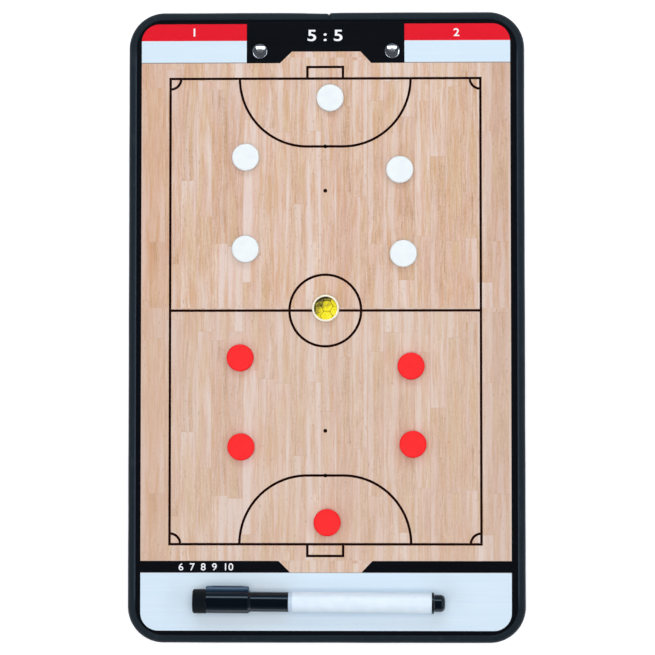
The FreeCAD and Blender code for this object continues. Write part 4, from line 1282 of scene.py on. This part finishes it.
# Stand for the picture: a pale floor just below the board, soft boxes at both sides, overhead
# and beyond the far end, a pale sky with a dark cover, and a camera almost square to the face.

floor_reach = 5.0
floor_level = -0.0002
floor_glow = 0.5

floor_pale = Finish("pale_floor", {"Specular IOR Level": 0.0, "Emission Strength": 1.0})
floor_x, floor_y = floor_pale.parts(floor_pale.place)[:2]
floor_away = ((floor_x * floor_x + floor_y * floor_y) ** 0.5).rise(0.3, 0.9)
floor_seen = floor_pale.add("LightPath", {}, {}, "Is Camera Ray")
floor_seen = floor_seen + floor_pale.add("LightPath", {}, {}, "Is Glossy Ray")
floor_seen = floor_seen + floor_pale.add("LightPath", {}, {}, "Is Transmission Ray")
floor_dust = floor_pale.noise((120.0, 120.0, 120.0), 3.0)
floor_pale.feed("Base Color", floor_pale.mix(floor_dust, dye(228, 230, 232), dye(234, 236, 238)))
floor_pale.feed("Roughness", 0.8 + 0.1 * floor_dust)
floor_share = floor_seen.least(1.0) * (floor_glow + (1 - floor_glow) * floor_away)
floor_shine = floor_pale.mix(floor_share, dye(0, 0, 0), dye(255, 255, 255))
floor_pale.feed("Emission Color", floor_shine)
floor_mesh = bpy.data.meshes.new("floor")
floor_corners = [(-1, -1, 0), (1, -1, 0), (1, 1, 0), (-1, 1, 0)]
floor_points = np.array(floor_corners) * floor_reach + (0, 0, floor_level)
floor_mesh.from_pydata(floor_points, [], [(0, 1, 2, 3)])
floor_mesh.materials.append(floor_pale.material)
floor = bpy.data.objects.new("floor", floor_mesh)
bpy.context.scene.collection.objects.link(floor)

sky = bpy.data.worlds.new("studio_sky")
sky.use_nodes = True
bpy.context.scene.world = sky
sky_nodes = Nodes(sky.node_tree)
sky_seen = sky_nodes.add("LightPath", {}, {}, "Is Camera Ray")
sky_height = sky_nodes.parts(sky_nodes.add("TexCoord", {}, {}, "Generated"))[2]
sky_cover = sky_height.rise(0.1, 0.7)
sky_light = sky_nodes.mix(sky_cover, (0.36, 0.42, 0.5, 1.0), (0.085, 0.092, 0.108, 1.0))
sky_colour = sky_nodes.mix(sky_seen, sky_light, (1.0, 1.0, 1.0, 1.0))
sky.node_tree.links.new(sky_colour.socket, sky.node_tree.nodes["Background"].inputs["Color"])


def soft_box(name, place, size, power, colour, mirrored=True):
    """Rectangular lamp in metres and watts, turned towards the board's middle."""
    lamp = bpy.data.lights.new(name, "AREA")
    lamp.shape = "RECTANGLE"
    lamp.size, lamp.size_y = size
    lamp.energy = power
    lamp.color = colour
    stand = bpy.data.objects.new(name, lamp)
    stand.location = place
    stand.rotation_euler = (-Vector(place)).to_track_quat("-Z", "Y").to_euler()
    stand.visible_camera = False
    stand.visible_glossy = mirrored
    bpy.context.scene.collection.objects.link(stand)


warm, cool = (0.99, 0.87, 0.807), (0.792, 0.885, 0.953)
soft_box("top_soft_box", (0.0, -0.1, 1.6), (1.2, 1.2), 14.8, warm, mirrored=False)
soft_box("left_soft_box", (-0.66, -0.48, 0.74), (1.4, 0.16), 2.9, cool)
soft_box("right_soft_box", (0.80, -0.20, 0.74), (1.4, 0.16), 2.9, cool)
soft_box("far_soft_box", (0.0, 0.78, 0.92), (1.3, 0.4), 5.4, cool)

eye_place = Vector((35.1416, -66.4098, 1499.3906)) * MM
eye_right = Vector((0.999729, -0.0000733, -0.0232738))
eye_up = Vector((0.0010997, 0.9990270, 0.0440901))
eye = bpy.data.cameras.new("camera")
eye.lens = 147.5307
camera = bpy.data.objects.new("camera", eye)
eye_axes = Matrix((eye_right, eye_up, eye_right.cross(eye_up))).transposed()
camera.matrix_world = Matrix.Translation(eye_place) @ eye_axes.to_4x4()
bpy.context.scene.collection.objects.link(camera)
bpy.context.scene.camera = camera
bpy.context.scene.view_settings.view_transform = "Standard"
